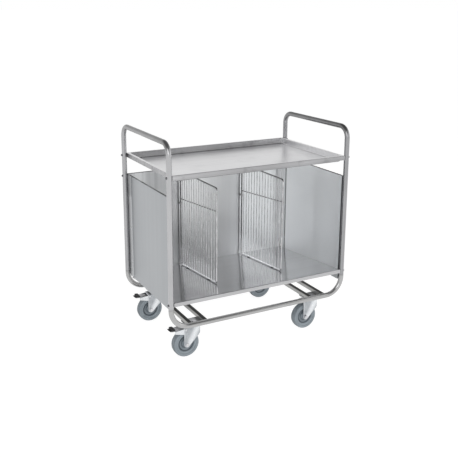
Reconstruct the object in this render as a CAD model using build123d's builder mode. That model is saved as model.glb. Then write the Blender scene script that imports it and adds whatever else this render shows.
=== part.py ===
from build123d import *
import math
import os

os.makedirs("parts", exist_ok=True)

# Tube frame: X runs along the length, Y to the back, Z up from the floor, all in millimetres
post_spacing_x = 960.0
post_spacing_y = 560.0
tube_diameter = 25.0
tube_wall = 1.5
handle_bend = 55.0
rail_bend = 90.0
rail_straight = 8.0
handle_rise = 170.0
touch = 0.05

# Castors
wheel_diameter = 132.0
wheel_width = 36.0
tyre_thickness = 17.0
tyre_shoulder = 10.8
rim_thickness = 6.0
rim_width = 34.0
web_width = 8.0
boss_diameter = 30.0
boss_recess = 0.55
bush_diameter = 16.0
axle_diameter = 10.0
axle_hex = 16.0
axle_head = 6.4
axle_nut = 8.0
running_gap = 0.05
trail = 48.0
castor_head = 33.0
castor_inset_y = 56.0
plate_length = 105.0
plate_width = 85.0
plate_thickness = 4.0
plate_corner = 9.0
plate_pitch_x = 80.0
plate_pitch_y = 60.0
race_diameter = 66.0
race_height = 6.0
race_round = 3.0
swivel_gap = 0.3
king_pin_diameter = 12.0
king_pin_head = 21.6
king_pin_hex = 19.0
king_nut_height = 7.0
crown_thickness = 4.0
crown_diameter = 70.0
leg_thickness = 3.0
leg_side_gap = 4.0
leg_boss_radius = 15.0
leg_shoulder = 36.0
fork_front = 26.0
fork_back = 63.0
fork_top_round = 6.0
fork_nose_round = 16.0

# Brake of the two castors at the left end, with ears on the fork beside the lever
ear_length = 47.0
ear_drop = 7.0
ear_rise = 12.0
ear_tip_height = 12.0
ear_tip_round = 4.0
brake_pin_diameter = 6.0
brake_pin_head = 9.6
brake_pin_head_height = 2.4
brake_pivot_back = 6.0
brake_pivot_rise = 10.0
brake_barrel = 11.0
barrel_side_gap = 1.0
arm_thickness = 3.0
arm_length = 74.0
arm_half_width = 15.0
arm_flare_start = 24.8
arm_flare_end = 34.1
arm_flare_round = 8.0
pedal_half_width = 20.0
pedal_round = 5.0
arm_rise = 2.0
shoe_gap = 5.4
shoe_rise = 1.0
shoe_near = 12.0
shoe_far = 30.0
shoe_depth = 24.0
shoe_width = 20.0
tongue_length = 9.0
tongue_bend = 35.0
tongue_bend_round = 4.0
tongue_half_width = 14.0
tongue_root = 4.0
tongue_tip_round = 6.0
tread_start = 52.0
tread_end = 71.0
tread_thickness = 8.0
tread_side = 1.5
tread_round = 6.0
tread_edge = 2.0
tread_peg = 8.0
tread_peg_head = 11.0
tread_peg_head_height = 2.0

# Cross bars
bar_size = 20.0
bar_wall = 1.5
bar_clear = 2.0

# Shelves
sheet = 1.2
upper_floor = 875.0
upper_rim = 30.0
hem_width = 16.0
hem_skirt = 22.0
shelf_overhang = 8.0
outer_corner = 3.0
inner_corner = 10.0
lower_rise = 32.5
lower_fall = 5.0
lower_skirt = 20.0
lower_rear_skirt = 18.0
lower_end_gap = 3.0
lower_end_stop = 33.0
pad_length = 20.0
pad_height = 16.9
rear_skirt_inset = 40.0

# Panels
panel_drop = 75.0
back_panel_lower = 4.0
side_panel_below = 58.0
panel_flange = 6.5
panel_top_fold = 12.0
return_depth = 60.0
return_overlap = 14.0
return_tongue = 25.0
return_clear = 1.5
back_corner_cut = 4.0
back_hem = 12.0

# Dividers
divider_left_x = -175.0
divider_right_x = 198.0
divider_front_gap = 136.0
divider_top_gap = 18.0
divider_rod = 8.0
divider_wire = 5.0
wire_pitch = 28.0
rod_bend = 12.0
rear_top_bend = 45.0
middle_wire_height = 369.0
middle_wire_side = 4.5
peg_diameter = 6.0
peg_inset = 85.0
peg_below = 14.0
peg_clearance = 0.5
grommet_neck = 12.0
grommet_flange = 18.0
grommet_lip = 1.5
seat_gap = 0.2
buffer_diameter = 12.0
buffer_height = 12.0
buffer_width = 6.0
buffer_pad_height = 8.0
buffer_reach = 14.5
buffer_gap = 0.3
buffer_drop = 178.0

# Fasteners
shelf_bolt_diameter = 6.0
shelf_bolt_head = 12.0
shelf_bolt_dome = 5.5
shelf_bolt_edge = 0.8
shelf_bolt_past = 10.0
upper_bolt_drop = 10.0
back_bolt_drop = 8.0
shelf_nut_hex = 10.0
shelf_nut_height = 5.0
plate_bolt_diameter = 8.0
plate_bolt_hex = 13.0
plate_bolt_head = 5.3
plate_nut_height = 6.5
plate_bolt_past = 2.0
rivet_diameter = 4.0
rivet_head = 8.0
rivet_dome = 1.6
rivet_collar = 6.0
rivet_collar_height = 1.5
rivet_grip = 3.3
rivet_above_bottom = 80.0
rivet_below_top = 60.0
skirt_rivet_parts = (-0.72, -0.24, 0.24, 0.72)
hole_clearance = 0.4

# Heights and half sizes that follow from the sizes above
tube_r = tube_diameter / 2
wheel_r = wheel_diameter / 2
post_x = post_spacing_x / 2
post_y = post_spacing_y / 2
castor_height = wheel_diameter + castor_head
castor_inset_x = rail_bend + plate_pitch_x / 2 + bar_size / 2 + bar_clear
rail_height = castor_height + tube_r
joint_height = rail_height + rail_bend + rail_straight
handle_height = upper_floor + handle_rise
rim_top = upper_floor + upper_rim
shelf_half_x = post_x - tube_r - touch
shelf_half_y = post_y + shelf_overhang
lower_half_x = shelf_half_x - lower_end_gap
lower_front = joint_height + lower_rise
fall = math.radians(lower_fall)
panel_top = upper_floor - panel_drop
side_panel_bottom = lower_front - side_panel_below
panel_front = -post_y + tube_r + touch
panel_rear = shelf_half_y - return_depth + return_overlap
back_inner = shelf_half_y - sheet
back_top = panel_top - back_panel_lower
side_outer = shelf_half_x - sheet
side_inner = side_outer - sheet
return_bottom = joint_height + return_clear
divider_front = -post_y + divider_front_gap
divider_rear = back_inner - buffer_gap - buffer_reach
divider_top = panel_top - divider_top_gap
peg_spots = (divider_front + peg_inset, divider_rear - peg_inset)
sides = (("left", -1), ("right", 1))


def lower_floor(y):
    """Height of the lower shelf's top face, which falls evenly from the front edge to the back."""
    return lower_front - (y + shelf_half_y) * math.tan(fall)


def save(shape, name):
    """Label a finished piece and write it to its own file."""
    shape.label = name
    export_step(shape, f"parts/{name}.step")


def dome_radius(foot, height):
    """Radius of the ball that a dome of the given foot radius and height is cut from."""
    return (foot**2 + height**2) / (2 * height)


def facing(x, y, z, direction):
    """Location at a point with its own Z axis turned to the given direction."""
    return Plane(origin=(x, y, z), z_dir=direction).location


# Places of the fasteners that several pieces share
upper_bolt_z = rim_top - upper_bolt_drop
lower_bolt_z = lower_floor(-post_y) - lower_skirt / 2
back_bolt_z = back_top - back_bolt_drop
upper_nut_seat = shelf_half_x - sheet
lower_nut_seat = lower_half_x - sheet
post_bolts = []
for sx in (-1, 1):
    post_bolts.append((sx, -post_y, upper_bolt_z, upper_nut_seat))
    post_bolts.append((sx, post_y, upper_bolt_z, upper_nut_seat))
    post_bolts.append((sx, -post_y, lower_bolt_z, lower_nut_seat))
    post_bolts.append((sx, post_y, back_bolt_z, upper_nut_seat))
rivet_heights = (
    side_panel_bottom + rivet_above_bottom,
    (side_panel_bottom + panel_top) / 2,
    panel_top - rivet_below_top,
)
return_rivet_y = panel_rear - return_overlap / 2
skirt_rivet_z = lower_floor(back_inner) - lower_rear_skirt / 2
skirt_rivet_x = tuple(lower_half_x * part for part in skirt_rivet_parts)
castors = (
    ("front_left", -post_x + castor_inset_x, -post_y + castor_inset_y),
    ("rear_left", -post_x + castor_inset_x, post_y - castor_inset_y),
    ("front_right", post_x - castor_inset_x, -post_y + castor_inset_y),
    ("rear_right", post_x - castor_inset_x, post_y - castor_inset_y),
)

# Handle frames: each a handle and two posts bent from one tube
for side, sx in sides:
    with BuildPart() as handle_frame:
        with BuildLine(Plane.YZ.offset(sx * post_x)):
            FilletPolyline(
                (-post_y, joint_height),
                (-post_y, handle_height),
                (post_y, handle_height),
                (post_y, joint_height),
                radius=handle_bend,
            )
        with BuildSketch(Plane(origin=(sx * post_x, -post_y, joint_height), z_dir=(0, 0, 1))):
            Circle(tube_r)
            Circle(tube_r - tube_wall, mode=Mode.SUBTRACT)
        sweep()
        with Locations(*[facing(sx * post_x, y, z, (1, 0, 0)) for s, y, z, _ in post_bolts if s == sx]):
            Cylinder(
                (shelf_bolt_diameter + hole_clearance) / 2,
                2 * tube_diameter,
                mode=Mode.SUBTRACT,
            )
        with Locations(*[facing(sx * post_x, panel_front, z, (0, -1, 0)) for z in rivet_heights]):
            Cylinder(
                (rivet_diameter + hole_clearance) / 2,
                tube_r,
                align=(Align.CENTER, Align.CENTER, Align.MIN),
                mode=Mode.SUBTRACT,
            )
    save(handle_frame.part, f"{side}_handle_frame")

# Rails: each a long tube with both ends bent up to meet the posts
for end, sy in (("front", -1), ("rear", 1)):
    with BuildPart() as rail:
        with BuildLine(Plane.XZ.offset(-sy * post_y)):
            FilletPolyline(
                (-post_x, joint_height),
                (-post_x, rail_height),
                (post_x, rail_height),
                (post_x, joint_height),
                radius=rail_bend,
            )
        with BuildSketch(Plane(origin=(-post_x, sy * post_y, joint_height), z_dir=(0, 0, -1))):
            Circle(tube_r)
            Circle(tube_r - tube_wall, mode=Mode.SUBTRACT)
        sweep()
    save(rail.part, f"{end}_rail")

# Cross bars: square tubes coped to the rails, two over each pair of castors
for side, sx in sides:
    castor_x = sx * (post_x - castor_inset_x)
    for place, offset in (("outer", sx * plate_pitch_x / 2), ("inner", -sx * plate_pitch_x / 2)):
        bar_x = castor_x + offset
        with BuildPart() as bar:
            with BuildSketch(Plane(origin=(bar_x, 0, castor_height + bar_size / 2), z_dir=(0, 1, 0))):
                Rectangle(bar_size, bar_size)
                Rectangle(bar_size - 2 * bar_wall, bar_size - 2 * bar_wall, mode=Mode.SUBTRACT)
            extrude(amount=post_y, both=True)
            with Locations(*[facing(bar_x, sy * post_y, rail_height, (1, 0, 0)) for sy in (-1, 1)]):
                Cylinder(tube_r + touch, 2 * bar_size, mode=Mode.SUBTRACT)
            bolt_ys = [
                sy * (post_y - castor_inset_y) + shift
                for sy in (-1, 1)
                for shift in (-plate_pitch_y / 2, plate_pitch_y / 2)
            ]
            with Locations(*[(bar_x, y, castor_height) for y in bolt_ys]):
                Cylinder(
                    (plate_bolt_diameter + hole_clearance) / 2,
                    4 * bar_wall,
                    mode=Mode.SUBTRACT,
                )
        save(bar.part, f"{side}_{place}_cross_bar")

# Upper shelf: a folded tray whose edge is turned outwards and down again
with BuildPart() as upper_shelf:
    outer_x = 2 * shelf_half_x
    outer_y = 2 * shelf_half_y
    wall_in = 2 * (hem_width - sheet)
    with BuildSketch(Plane.XY.offset(rim_top - hem_skirt)):
        RectangleRounded(outer_x, outer_y, outer_corner)
        RectangleRounded(outer_x - 2 * sheet, outer_y - 2 * sheet, outer_corner - sheet, mode=Mode.SUBTRACT)
    extrude(amount=hem_skirt)
    with BuildSketch(Plane.XY.offset(rim_top - sheet)):
        RectangleRounded(outer_x, outer_y, outer_corner)
        RectangleRounded(outer_x - 2 * hem_width, outer_y - 2 * hem_width, inner_corner, mode=Mode.SUBTRACT)
    extrude(amount=sheet)
    with BuildSketch(Plane.XY.offset(upper_floor - sheet)):
        RectangleRounded(outer_x - wall_in, outer_y - wall_in, inner_corner + sheet)
        RectangleRounded(outer_x - 2 * hem_width, outer_y - 2 * hem_width, inner_corner, mode=Mode.SUBTRACT)
    extrude(amount=upper_rim + sheet)
    with BuildSketch(Plane.XY.offset(upper_floor - sheet)):
        RectangleRounded(outer_x - wall_in, outer_y - wall_in, inner_corner + sheet)
    extrude(amount=sheet)
    with Locations(
        *[facing(s * shelf_half_x, y, z, (1, 0, 0)) for s, y, z, _ in post_bolts if z == upper_bolt_z]
    ):
        Cylinder(
            (shelf_bolt_diameter + hole_clearance) / 2,
            4 * sheet,
            mode=Mode.SUBTRACT,
        )
save(upper_shelf.part, "upper_shelf")

# Lower shelf: a sheet leaning to the back with its edges folded down
with BuildPart() as lower_shelf:
    drop = sheet / math.cos(fall)
    front_in = -shelf_half_y + sheet
    end_stop = back_inner - lower_end_stop
    with BuildSketch(Plane.YZ):
        Polygon(
            (-shelf_half_y, lower_front - lower_skirt),
            (front_in, lower_front - lower_skirt),
            (front_in, lower_floor(front_in) - drop),
            (back_inner, lower_floor(back_inner) - drop),
            (back_inner, lower_floor(back_inner)),
            (-shelf_half_y, lower_front),
            align=None,
        )
    extrude(amount=lower_half_x, both=True)
    for sx in (-1, 1):
        with BuildSketch(Plane.YZ.offset(sx * lower_half_x)):
            Polygon(
                (-shelf_half_y, lower_front - lower_skirt),
                (end_stop, lower_floor(end_stop) - lower_skirt),
                (end_stop, lower_floor(end_stop) - drop / 2),
                (-shelf_half_y, lower_front - drop / 2),
                align=None,
            )
        extrude(amount=-sx * sheet)
        with Locations((sx * lower_half_x, -shelf_half_y, lower_bolt_z)):
            Box(
                lower_end_gap,
                pad_length,
                pad_height,
                align=(Align.MIN if sx > 0 else Align.MAX, Align.MIN, Align.CENTER),
            )
    with Locations((0, back_inner, lower_floor(back_inner) - drop / 2)):
        Box(
            2 * (lower_half_x - rear_skirt_inset),
            sheet,
            lower_rear_skirt,
            align=(Align.CENTER, Align.MAX, Align.MAX),
        )
    with Locations(
        *[facing(s * lower_half_x, y, z, (1, 0, 0)) for s, y, z, _ in post_bolts if z == lower_bolt_z]
    ):
        Cylinder(
            (shelf_bolt_diameter + hole_clearance) / 2,
            4 * lower_end_gap,
            mode=Mode.SUBTRACT,
        )
    with Locations(*[facing(x, back_inner, skirt_rivet_z, (0, 1, 0)) for x in skirt_rivet_x]):
        Cylinder(
            (rivet_diameter + hole_clearance) / 2,
            4 * sheet,
            mode=Mode.SUBTRACT,
        )
    with Locations(*[(x, y, lower_floor(y)) for x in (divider_left_x, divider_right_x) for y in peg_spots]):
        Cylinder(grommet_neck / 2 + touch, 8 * sheet, mode=Mode.SUBTRACT)
save(lower_shelf.part, "lower_shelf")

# Side panels: a sheet inside the back panel's return, its front edge and its top folded outwards
for side, sx in sides:
    with BuildPart() as side_panel:
        inner = sx * side_inner
        outer = sx * side_outer
        flange = sx * (post_x + panel_flange)
        with BuildSketch(Plane.XY.offset(side_panel_bottom)):
            Polygon(
                (inner, panel_front),
                (flange, panel_front),
                (flange, panel_front + sheet),
                (outer, panel_front + sheet),
                (outer, panel_rear),
                (inner, panel_rear),
                align=None,
            )
        extrude(amount=panel_top - side_panel_bottom)
        with BuildSketch(Plane.XY.offset(panel_top - sheet)):
            Polygon(
                (inner, panel_front),
                (inner + sx * panel_top_fold, panel_front),
                (inner + sx * panel_top_fold, panel_rear),
                (inner, panel_rear),
                align=None,
            )
        extrude(amount=sheet)
        with Locations(*[facing(inner, return_rivet_y, z, (1, 0, 0)) for z in rivet_heights]):
            Cylinder(
                (rivet_diameter + hole_clearance) / 2,
                4 * sheet,
                mode=Mode.SUBTRACT,
            )
        with Locations(*[facing(sx * post_x, panel_front, z, (0, 1, 0)) for z in rivet_heights]):
            Cylinder(
                (rivet_diameter + hole_clearance) / 2,
                4 * sheet,
                mode=Mode.SUBTRACT,
            )
    save(side_panel.part, f"{side}_panel")

# Back panel: a sheet with a return at each end, a doubled top edge and a tongue down to the shelf's skirt
with BuildPart() as back_panel:
    return_front = shelf_half_y - return_depth
    with BuildSketch(Plane.XY.offset(return_bottom)):
        Polygon(
            (-shelf_half_x, return_front),
            (-shelf_half_x + sheet, return_front),
            (-shelf_half_x + sheet, back_inner),
            (shelf_half_x - sheet, back_inner),
            (shelf_half_x - sheet, return_front),
            (shelf_half_x, return_front),
            (shelf_half_x, shelf_half_y),
            (-shelf_half_x, shelf_half_y),
            align=None,
        )
    extrude(amount=back_top - return_bottom)
    back_bottom = lower_floor(back_inner) - lower_rear_skirt
    with Locations((0, back_inner, back_bottom)):
        Box(
            2 * (shelf_half_x - back_corner_cut),
            sheet,
            return_bottom - back_bottom,
            align=(Align.CENTER, Align.MIN, Align.MIN),
        )
    for sx in (-1, 1):
        with Locations((sx * shelf_half_x, return_front, return_bottom)):
            Box(
                sheet,
                post_y - tube_r - 2 * sheet - return_front,
                return_tongue,
                align=(Align.MAX if sx > 0 else Align.MIN, Align.MIN, Align.MAX),
            )
    with Locations((0, shelf_half_y, back_top)):
        Box(
            2 * (shelf_half_x - 2 * sheet),
            sheet,
            back_hem,
            align=(Align.CENTER, Align.MIN, Align.MAX),
        )
    with Locations(
        *[facing(sx * shelf_half_x, return_rivet_y, z, (1, 0, 0)) for sx in (-1, 1) for z in rivet_heights]
    ):
        Cylinder(
            (rivet_diameter + hole_clearance) / 2,
            4 * sheet,
            mode=Mode.SUBTRACT,
        )
    with Locations(*[facing(x, back_inner, skirt_rivet_z, (0, 1, 0)) for x in skirt_rivet_x]):
        Cylinder(
            (rivet_diameter + hole_clearance) / 2,
            4 * sheet,
            mode=Mode.SUBTRACT,
        )
    with Locations(
        *[facing(s * shelf_half_x, y, z, (1, 0, 0)) for s, y, z, _ in post_bolts if z == back_bolt_z]
    ):
        Cylinder(
            (shelf_bolt_diameter + hole_clearance) / 2,
            4 * sheet,
            mode=Mode.SUBTRACT,
        )
save(back_panel.part, "back_panel")

# Dome-head bolts through the posts and their nuts inside the shelf edges
bolt_length = tube_diameter + shelf_bolt_past
bolt_r = shelf_bolt_diameter / 2
dome_r = shelf_bolt_head / 2
with BuildPart() as shelf_bolt:
    with BuildSketch(Plane.XZ):
        with BuildLine():
            Polyline(
                (0, shelf_bolt_dome),
                (0, -bolt_length),
                (bolt_r, -bolt_length),
                (bolt_r, 0),
                (dome_r, 0),
                (dome_r, shelf_bolt_edge),
            )
            RadiusArc(
                (dome_r, shelf_bolt_edge),
                (0, shelf_bolt_dome),
                -dome_radius(dome_r, shelf_bolt_dome - shelf_bolt_edge),
            )
        make_face()
    revolve(axis=Axis.Z)
with BuildPart() as shelf_bolts:
    with Locations(*[facing(s * (post_x + tube_r + touch), y, z, (s, 0, 0)) for s, y, z, _ in post_bolts]):
        add(shelf_bolt.part)
save(shelf_bolts.part, "shelf_bolts")

with BuildPart() as shelf_nuts:
    for s, y, z, seat in post_bolts:
        with BuildSketch(Plane(origin=(s * seat, y, z), z_dir=(-s, 0, 0))):
            RegularPolygon(shelf_nut_hex / 2, 6, major_radius=False)
            Circle(bolt_r + touch, mode=Mode.SUBTRACT)
        extrude(amount=shelf_nut_height)
save(shelf_nuts.part, "shelf_nuts")

# Blind rivets between the panels, the front posts and the lower shelf
with BuildPart() as rivet:
    with BuildSketch(Plane.XZ):
        with BuildLine():
            Polyline(
                (0, rivet_dome),
                (0, -rivet_grip - rivet_collar_height),
                (rivet_collar / 2, -rivet_grip - rivet_collar_height),
                (rivet_collar / 2, -rivet_grip),
                (rivet_diameter / 2, -rivet_grip),
                (rivet_diameter / 2, 0),
                (rivet_head / 2, 0),
            )
            RadiusArc((rivet_head / 2, 0), (0, rivet_dome), -dome_radius(rivet_head / 2, rivet_dome))
        make_face()
    revolve(axis=Axis.Z)
rivet_places = [facing(x, shelf_half_y, skirt_rivet_z, (0, 1, 0)) for x in skirt_rivet_x]
for sx in (-1, 1):
    for z in rivet_heights:
        rivet_places.append(facing(sx * shelf_half_x, return_rivet_y, z, (sx, 0, 0)))
        rivet_places.append(facing(sx * post_x, panel_front + sheet, z, (0, 1, 0)))
with BuildPart() as panel_rivets:
    with Locations(*rivet_places):
        add(rivet.part)
save(panel_rivets.part, "panel_rivets")

# Wire dividers: a rod loop filled with upright wires, two pegs underneath and a buffer at the back
rod_r = divider_rod / 2
wire_r = divider_wire / 2
rod_lift = (grommet_lip + seat_gap + rod_r) / math.cos(fall)
middle_y = (divider_front + divider_rear) / 2
buffer_z = divider_top - buffer_drop


def top_rod(y):
    """Height of the loop's upper rod axis, level as far as the quarter bend down to the rear upright."""
    into_bend = y - (divider_rear - rear_top_bend)
    if into_bend <= 0:
        return divider_top
    return divider_top - rear_top_bend + math.sqrt(rear_top_bend**2 - into_bend**2)


def bottom_rod(y):
    """Height of the loop's lower rod axis, which lies along the leaning shelf."""
    return lower_floor(y) + rod_lift


for side, x in (("left", divider_left_x), ("right", divider_right_x)):
    with BuildPart() as divider:
        for upright, top_bend in ((divider_front, rod_bend), (divider_rear, rear_top_bend)):
            with BuildLine(Plane.YZ.offset(x)):
                FilletPolyline(
                    (middle_y, divider_top),
                    (upright, divider_top),
                    (upright, bottom_rod(upright)),
                    (middle_y, bottom_rod(middle_y)),
                    radius=(top_bend, rod_bend),
                )
            with BuildSketch(Plane(origin=(x, middle_y, divider_top), z_dir=(0, 1, 0))):
                Circle(rod_r)
            sweep()
        wire_y = divider_front + wire_pitch
        while wire_y < divider_rear - rod_r - divider_wire:
            with Locations((x, wire_y, bottom_rod(wire_y))):
                Cylinder(
                    wire_r,
                    top_rod(wire_y) - bottom_rod(wire_y),
                    align=(Align.CENTER, Align.CENTER, Align.MIN),
                )
            wire_y += wire_pitch
        middle_z = lower_floor(middle_y) + middle_wire_height
        run = (divider_rear - divider_front) / math.cos(fall)
        along = (0, math.cos(fall), -math.sin(fall))
        with Locations(facing(x + middle_wire_side, middle_y, middle_z, along)):
            Cylinder(wire_r, run)
        for y in peg_spots:
            with Locations((x, y, bottom_rod(y))):
                Cylinder(
                    peg_diameter / 2,
                    rod_lift + peg_below,
                    align=(Align.CENTER, Align.CENTER, Align.MAX),
                )
    save(divider.part, f"{side}_divider")
    with BuildPart() as divider_buffer:
        with Locations((x, divider_rear, buffer_z)):
            Cylinder(buffer_diameter / 2, buffer_height)
            Box(
                buffer_width,
                buffer_reach,
                buffer_pad_height,
                align=(Align.CENTER, Align.MIN, Align.CENTER),
            )
            Cylinder(rod_r + touch, buffer_height, mode=Mode.SUBTRACT)
    save(divider_buffer.part, f"{side}_divider_buffer")

# Grommets in the lower shelf that the divider pegs drop through
floor_normal = (0, math.sin(fall), math.cos(fall))
peg_places = [(x, y) for x in (divider_left_x, divider_right_x) for y in peg_spots]
with BuildPart() as peg_grommets:
    for x, y in peg_places:
        with Locations(facing(x, y, lower_floor(y), floor_normal)):
            Cylinder(grommet_flange / 2, grommet_lip, align=(Align.CENTER, Align.CENTER, Align.MIN))
            Cylinder(grommet_neck / 2 - touch, sheet, align=(Align.CENTER, Align.CENTER, Align.MAX))
        under = Vector(x, y, lower_floor(y)) - sheet * Vector(*floor_normal)
        with Locations(facing(under.X, under.Y, under.Z, floor_normal)):
            Cylinder(grommet_flange / 2, grommet_lip, align=(Align.CENTER, Align.CENTER, Align.MAX))
        with Locations((x, y, lower_floor(y))):
            Cylinder(
                peg_diameter / 2 + peg_clearance,
                2 * grommet_flange,
                mode=Mode.SUBTRACT,
            )
save(peg_grommets.part, "peg_grommets")

# Castor plate with the pressed ball race under it
race_bottom = castor_height - plate_thickness - race_height
with BuildPart() as castor_plate:
    with BuildSketch(Plane.XY.offset(castor_height - plate_thickness)):
        RectangleRounded(plate_length, plate_width, plate_corner)
        with GridLocations(plate_pitch_x, plate_pitch_y, 2, 2):
            Circle((plate_bolt_diameter + hole_clearance) / 2, mode=Mode.SUBTRACT)
    extrude(amount=plate_thickness)
    with BuildSketch(Plane.XY.offset(race_bottom)):
        Circle(race_diameter / 2)
    extrude(amount=race_height)
    fillet(castor_plate.faces().sort_by(Axis.Z)[0].edges(), race_round)
    with Locations((0, 0, castor_height)):
        Cylinder(
            king_pin_diameter / 2 + touch,
            4 * race_height,
            mode=Mode.SUBTRACT,
        )

# King pin through the plate, held under the fork's crown by a nut
crown_top = race_bottom - swivel_gap
crown_bottom = crown_top - crown_thickness
king_nut_top = crown_bottom - swivel_gap
king_pin_bottom = king_nut_top - king_nut_height
with BuildPart() as king_pin:
    with BuildSketch(Plane.XY.offset(king_pin_bottom)):
        Circle(king_pin_diameter / 2)
    extrude(amount=castor_height - king_pin_bottom)
    with BuildSketch(Plane.XY.offset(castor_height)):
        Circle(king_pin_head / 2)
    extrude(amount=plate_thickness)
    with BuildSketch(Plane.XY.offset(king_pin_bottom)):
        RegularPolygon(king_pin_hex / 2, 6, major_radius=False)
    extrude(amount=king_nut_height)

# Fork: a pressed hood over the wheel with a round crown; the braked pair also has ears and a pivot pin
fork_gap = wheel_width + 2 * leg_side_gap
fork_width = fork_gap + 2 * leg_thickness
leg_low = wheel_r - leg_boss_radius
pivot_x = -trail - brake_pivot_back
pivot_z = wheel_diameter + brake_pivot_rise
ear_root = leg_thickness - fork_back
ear_tip = -fork_back - ear_length
ear_low = crown_top - leg_shoulder


def nose_corners(outline, x):
    """The two corners of an outline that lie at the given distance in front of the swivel axis."""
    return [corner for corner in outline.vertices() if abs(corner.X - x) < touch]


def make_fork(braked):
    """One castor fork about its swivel axis, with ears and holes for the brake's pin where it has one."""
    with BuildPart() as fork:
        with BuildSketch(Plane.XY.offset(leg_low)) as hood:
            with Locations((fork_front, 0)):
                Rectangle(fork_front + fork_back, fork_width, align=(Align.MAX, Align.CENTER))
            fillet(nose_corners(hood, fork_front), fork_nose_round)
        extrude(amount=crown_top - leg_low)
        fillet(fork.faces().sort_by(Axis.Z)[-1].edges(), fork_top_round)
        inside = fork_front - leg_thickness
        with BuildSketch(Plane.XY.offset(leg_low)) as hollow:
            with Locations((inside, 0)):
                Rectangle(fork_front + fork_back, fork_gap, align=(Align.MAX, Align.CENTER))
            fillet(nose_corners(hollow, inside), fork_nose_round - leg_thickness)
        extrude(amount=crown_bottom - leg_low, mode=Mode.SUBTRACT)
        with BuildSketch(Plane.XZ):
            with Locations((-trail, wheel_r)):
                Circle(leg_boss_radius)
            with Locations(((fork_front - fork_back) / 2, crown_top - leg_shoulder / 2)):
                Rectangle(fork_front + fork_back, leg_shoulder)
            make_hull()
        extrude(amount=fork_width, both=True, mode=Mode.INTERSECT)
        with BuildSketch(Plane.XY.offset(crown_bottom)):
            Circle(crown_diameter / 2)
        extrude(amount=crown_thickness)
        with Locations((0, 0, crown_top)):
            Cylinder(king_pin_diameter / 2 + running_gap, 4 * crown_thickness, mode=Mode.SUBTRACT)
        with Locations(facing(-trail, 0, wheel_r, (0, 1, 0))):
            Cylinder(axle_diameter / 2 + touch, 2 * fork_width, mode=Mode.SUBTRACT)
        if braked:
            for y in (fork_width / 2, -fork_gap / 2):
                with BuildSketch(Plane.XZ.offset(-y)) as ear:
                    Polygon(
                        (ear_root, ear_low),
                        (-fork_back, ear_low),
                        (ear_tip, ear_low + ear_rise),
                        (ear_tip, ear_low + ear_rise + ear_tip_height),
                        (ear_root, crown_top - ear_drop),
                        align=None,
                    )
                    fillet(ear.vertices().sort_by(Axis.X)[:2], ear_tip_round)
                extrude(amount=leg_thickness)
            with Locations(facing(pivot_x, 0, pivot_z, (0, 1, 0))):
                Cylinder(brake_pin_diameter / 2 + touch, 2 * fork_width, mode=Mode.SUBTRACT)
    return fork.part


forks = {True: make_fork(True), False: make_fork(False)}

# Axle bolt with its nut
with BuildPart() as axle:
    with BuildSketch(Plane.XZ.offset(-fork_width / 2)):
        with Locations((-trail, wheel_r)):
            Circle(axle_diameter / 2)
    extrude(amount=fork_width)
    for sy, height in ((-1, axle_head), (1, axle_nut)):
        with BuildSketch(Plane(origin=(-trail, sy * fork_width / 2, wheel_r), z_dir=(0, sy, 0))):
            RegularPolygon(axle_hex / 2, 6, major_radius=False)
        extrude(amount=height)

# Wheel: rubber tyre on a moulded centre with a bush that runs on the axle
wheel_plane = Plane(origin=(-trail, 0, wheel_r), x_dir=(0, 1, 0), z_dir=(1, 0, 0))
wheel_axis = Axis((-trail, 0, wheel_r), (0, 1, 0))
hub_r = wheel_r - tyre_thickness
bush_length = fork_gap - 2 * swivel_gap
boss_length = bush_length - 2 * boss_recess
with BuildPart() as tyre:
    with BuildSketch(wheel_plane) as tyre_section:
        with Locations((0, hub_r)):
            Rectangle(wheel_width, tyre_thickness, align=(Align.CENTER, Align.MIN))
        fillet([corner for corner in tyre_section.vertices() if corner.Y > wheel_r - touch], tyre_shoulder)
    revolve(axis=wheel_axis)
with BuildPart() as wheel_hub:
    with BuildSketch(wheel_plane):
        with Locations((0, bush_diameter / 2)):
            Rectangle(boss_length, (boss_diameter - bush_diameter) / 2, align=(Align.CENTER, Align.MIN))
            Rectangle(web_width, hub_r - bush_diameter / 2, align=(Align.CENTER, Align.MIN))
        with Locations((0, hub_r)):
            Rectangle(rim_width, rim_thickness, align=(Align.CENTER, Align.MAX))
    revolve(axis=wheel_axis)
with BuildPart() as wheel_bush:
    with BuildSketch(wheel_plane):
        with Locations((0, axle_diameter / 2 + running_gap)):
            Rectangle(
                bush_length,
                (bush_diameter - axle_diameter) / 2 - running_gap,
                align=(Align.CENTER, Align.MIN),
            )
    revolve(axis=wheel_axis)

# Brake: pivot pin across the fork, a lever with a shoe over the tyre and a tread pegged to its end
with BuildPart() as brake_pin:
    with Locations(facing(pivot_x, 0, pivot_z, (0, 1, 0))):
        Cylinder(brake_pin_diameter / 2, fork_width)
    for sy in (-1, 1):
        with Locations(facing(pivot_x, sy * fork_width / 2, pivot_z, (0, sy, 0))):
            Cylinder(
                brake_pin_head / 2,
                brake_pin_head_height,
                align=(Align.CENTER, Align.CENTER, Align.MIN),
            )

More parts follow.
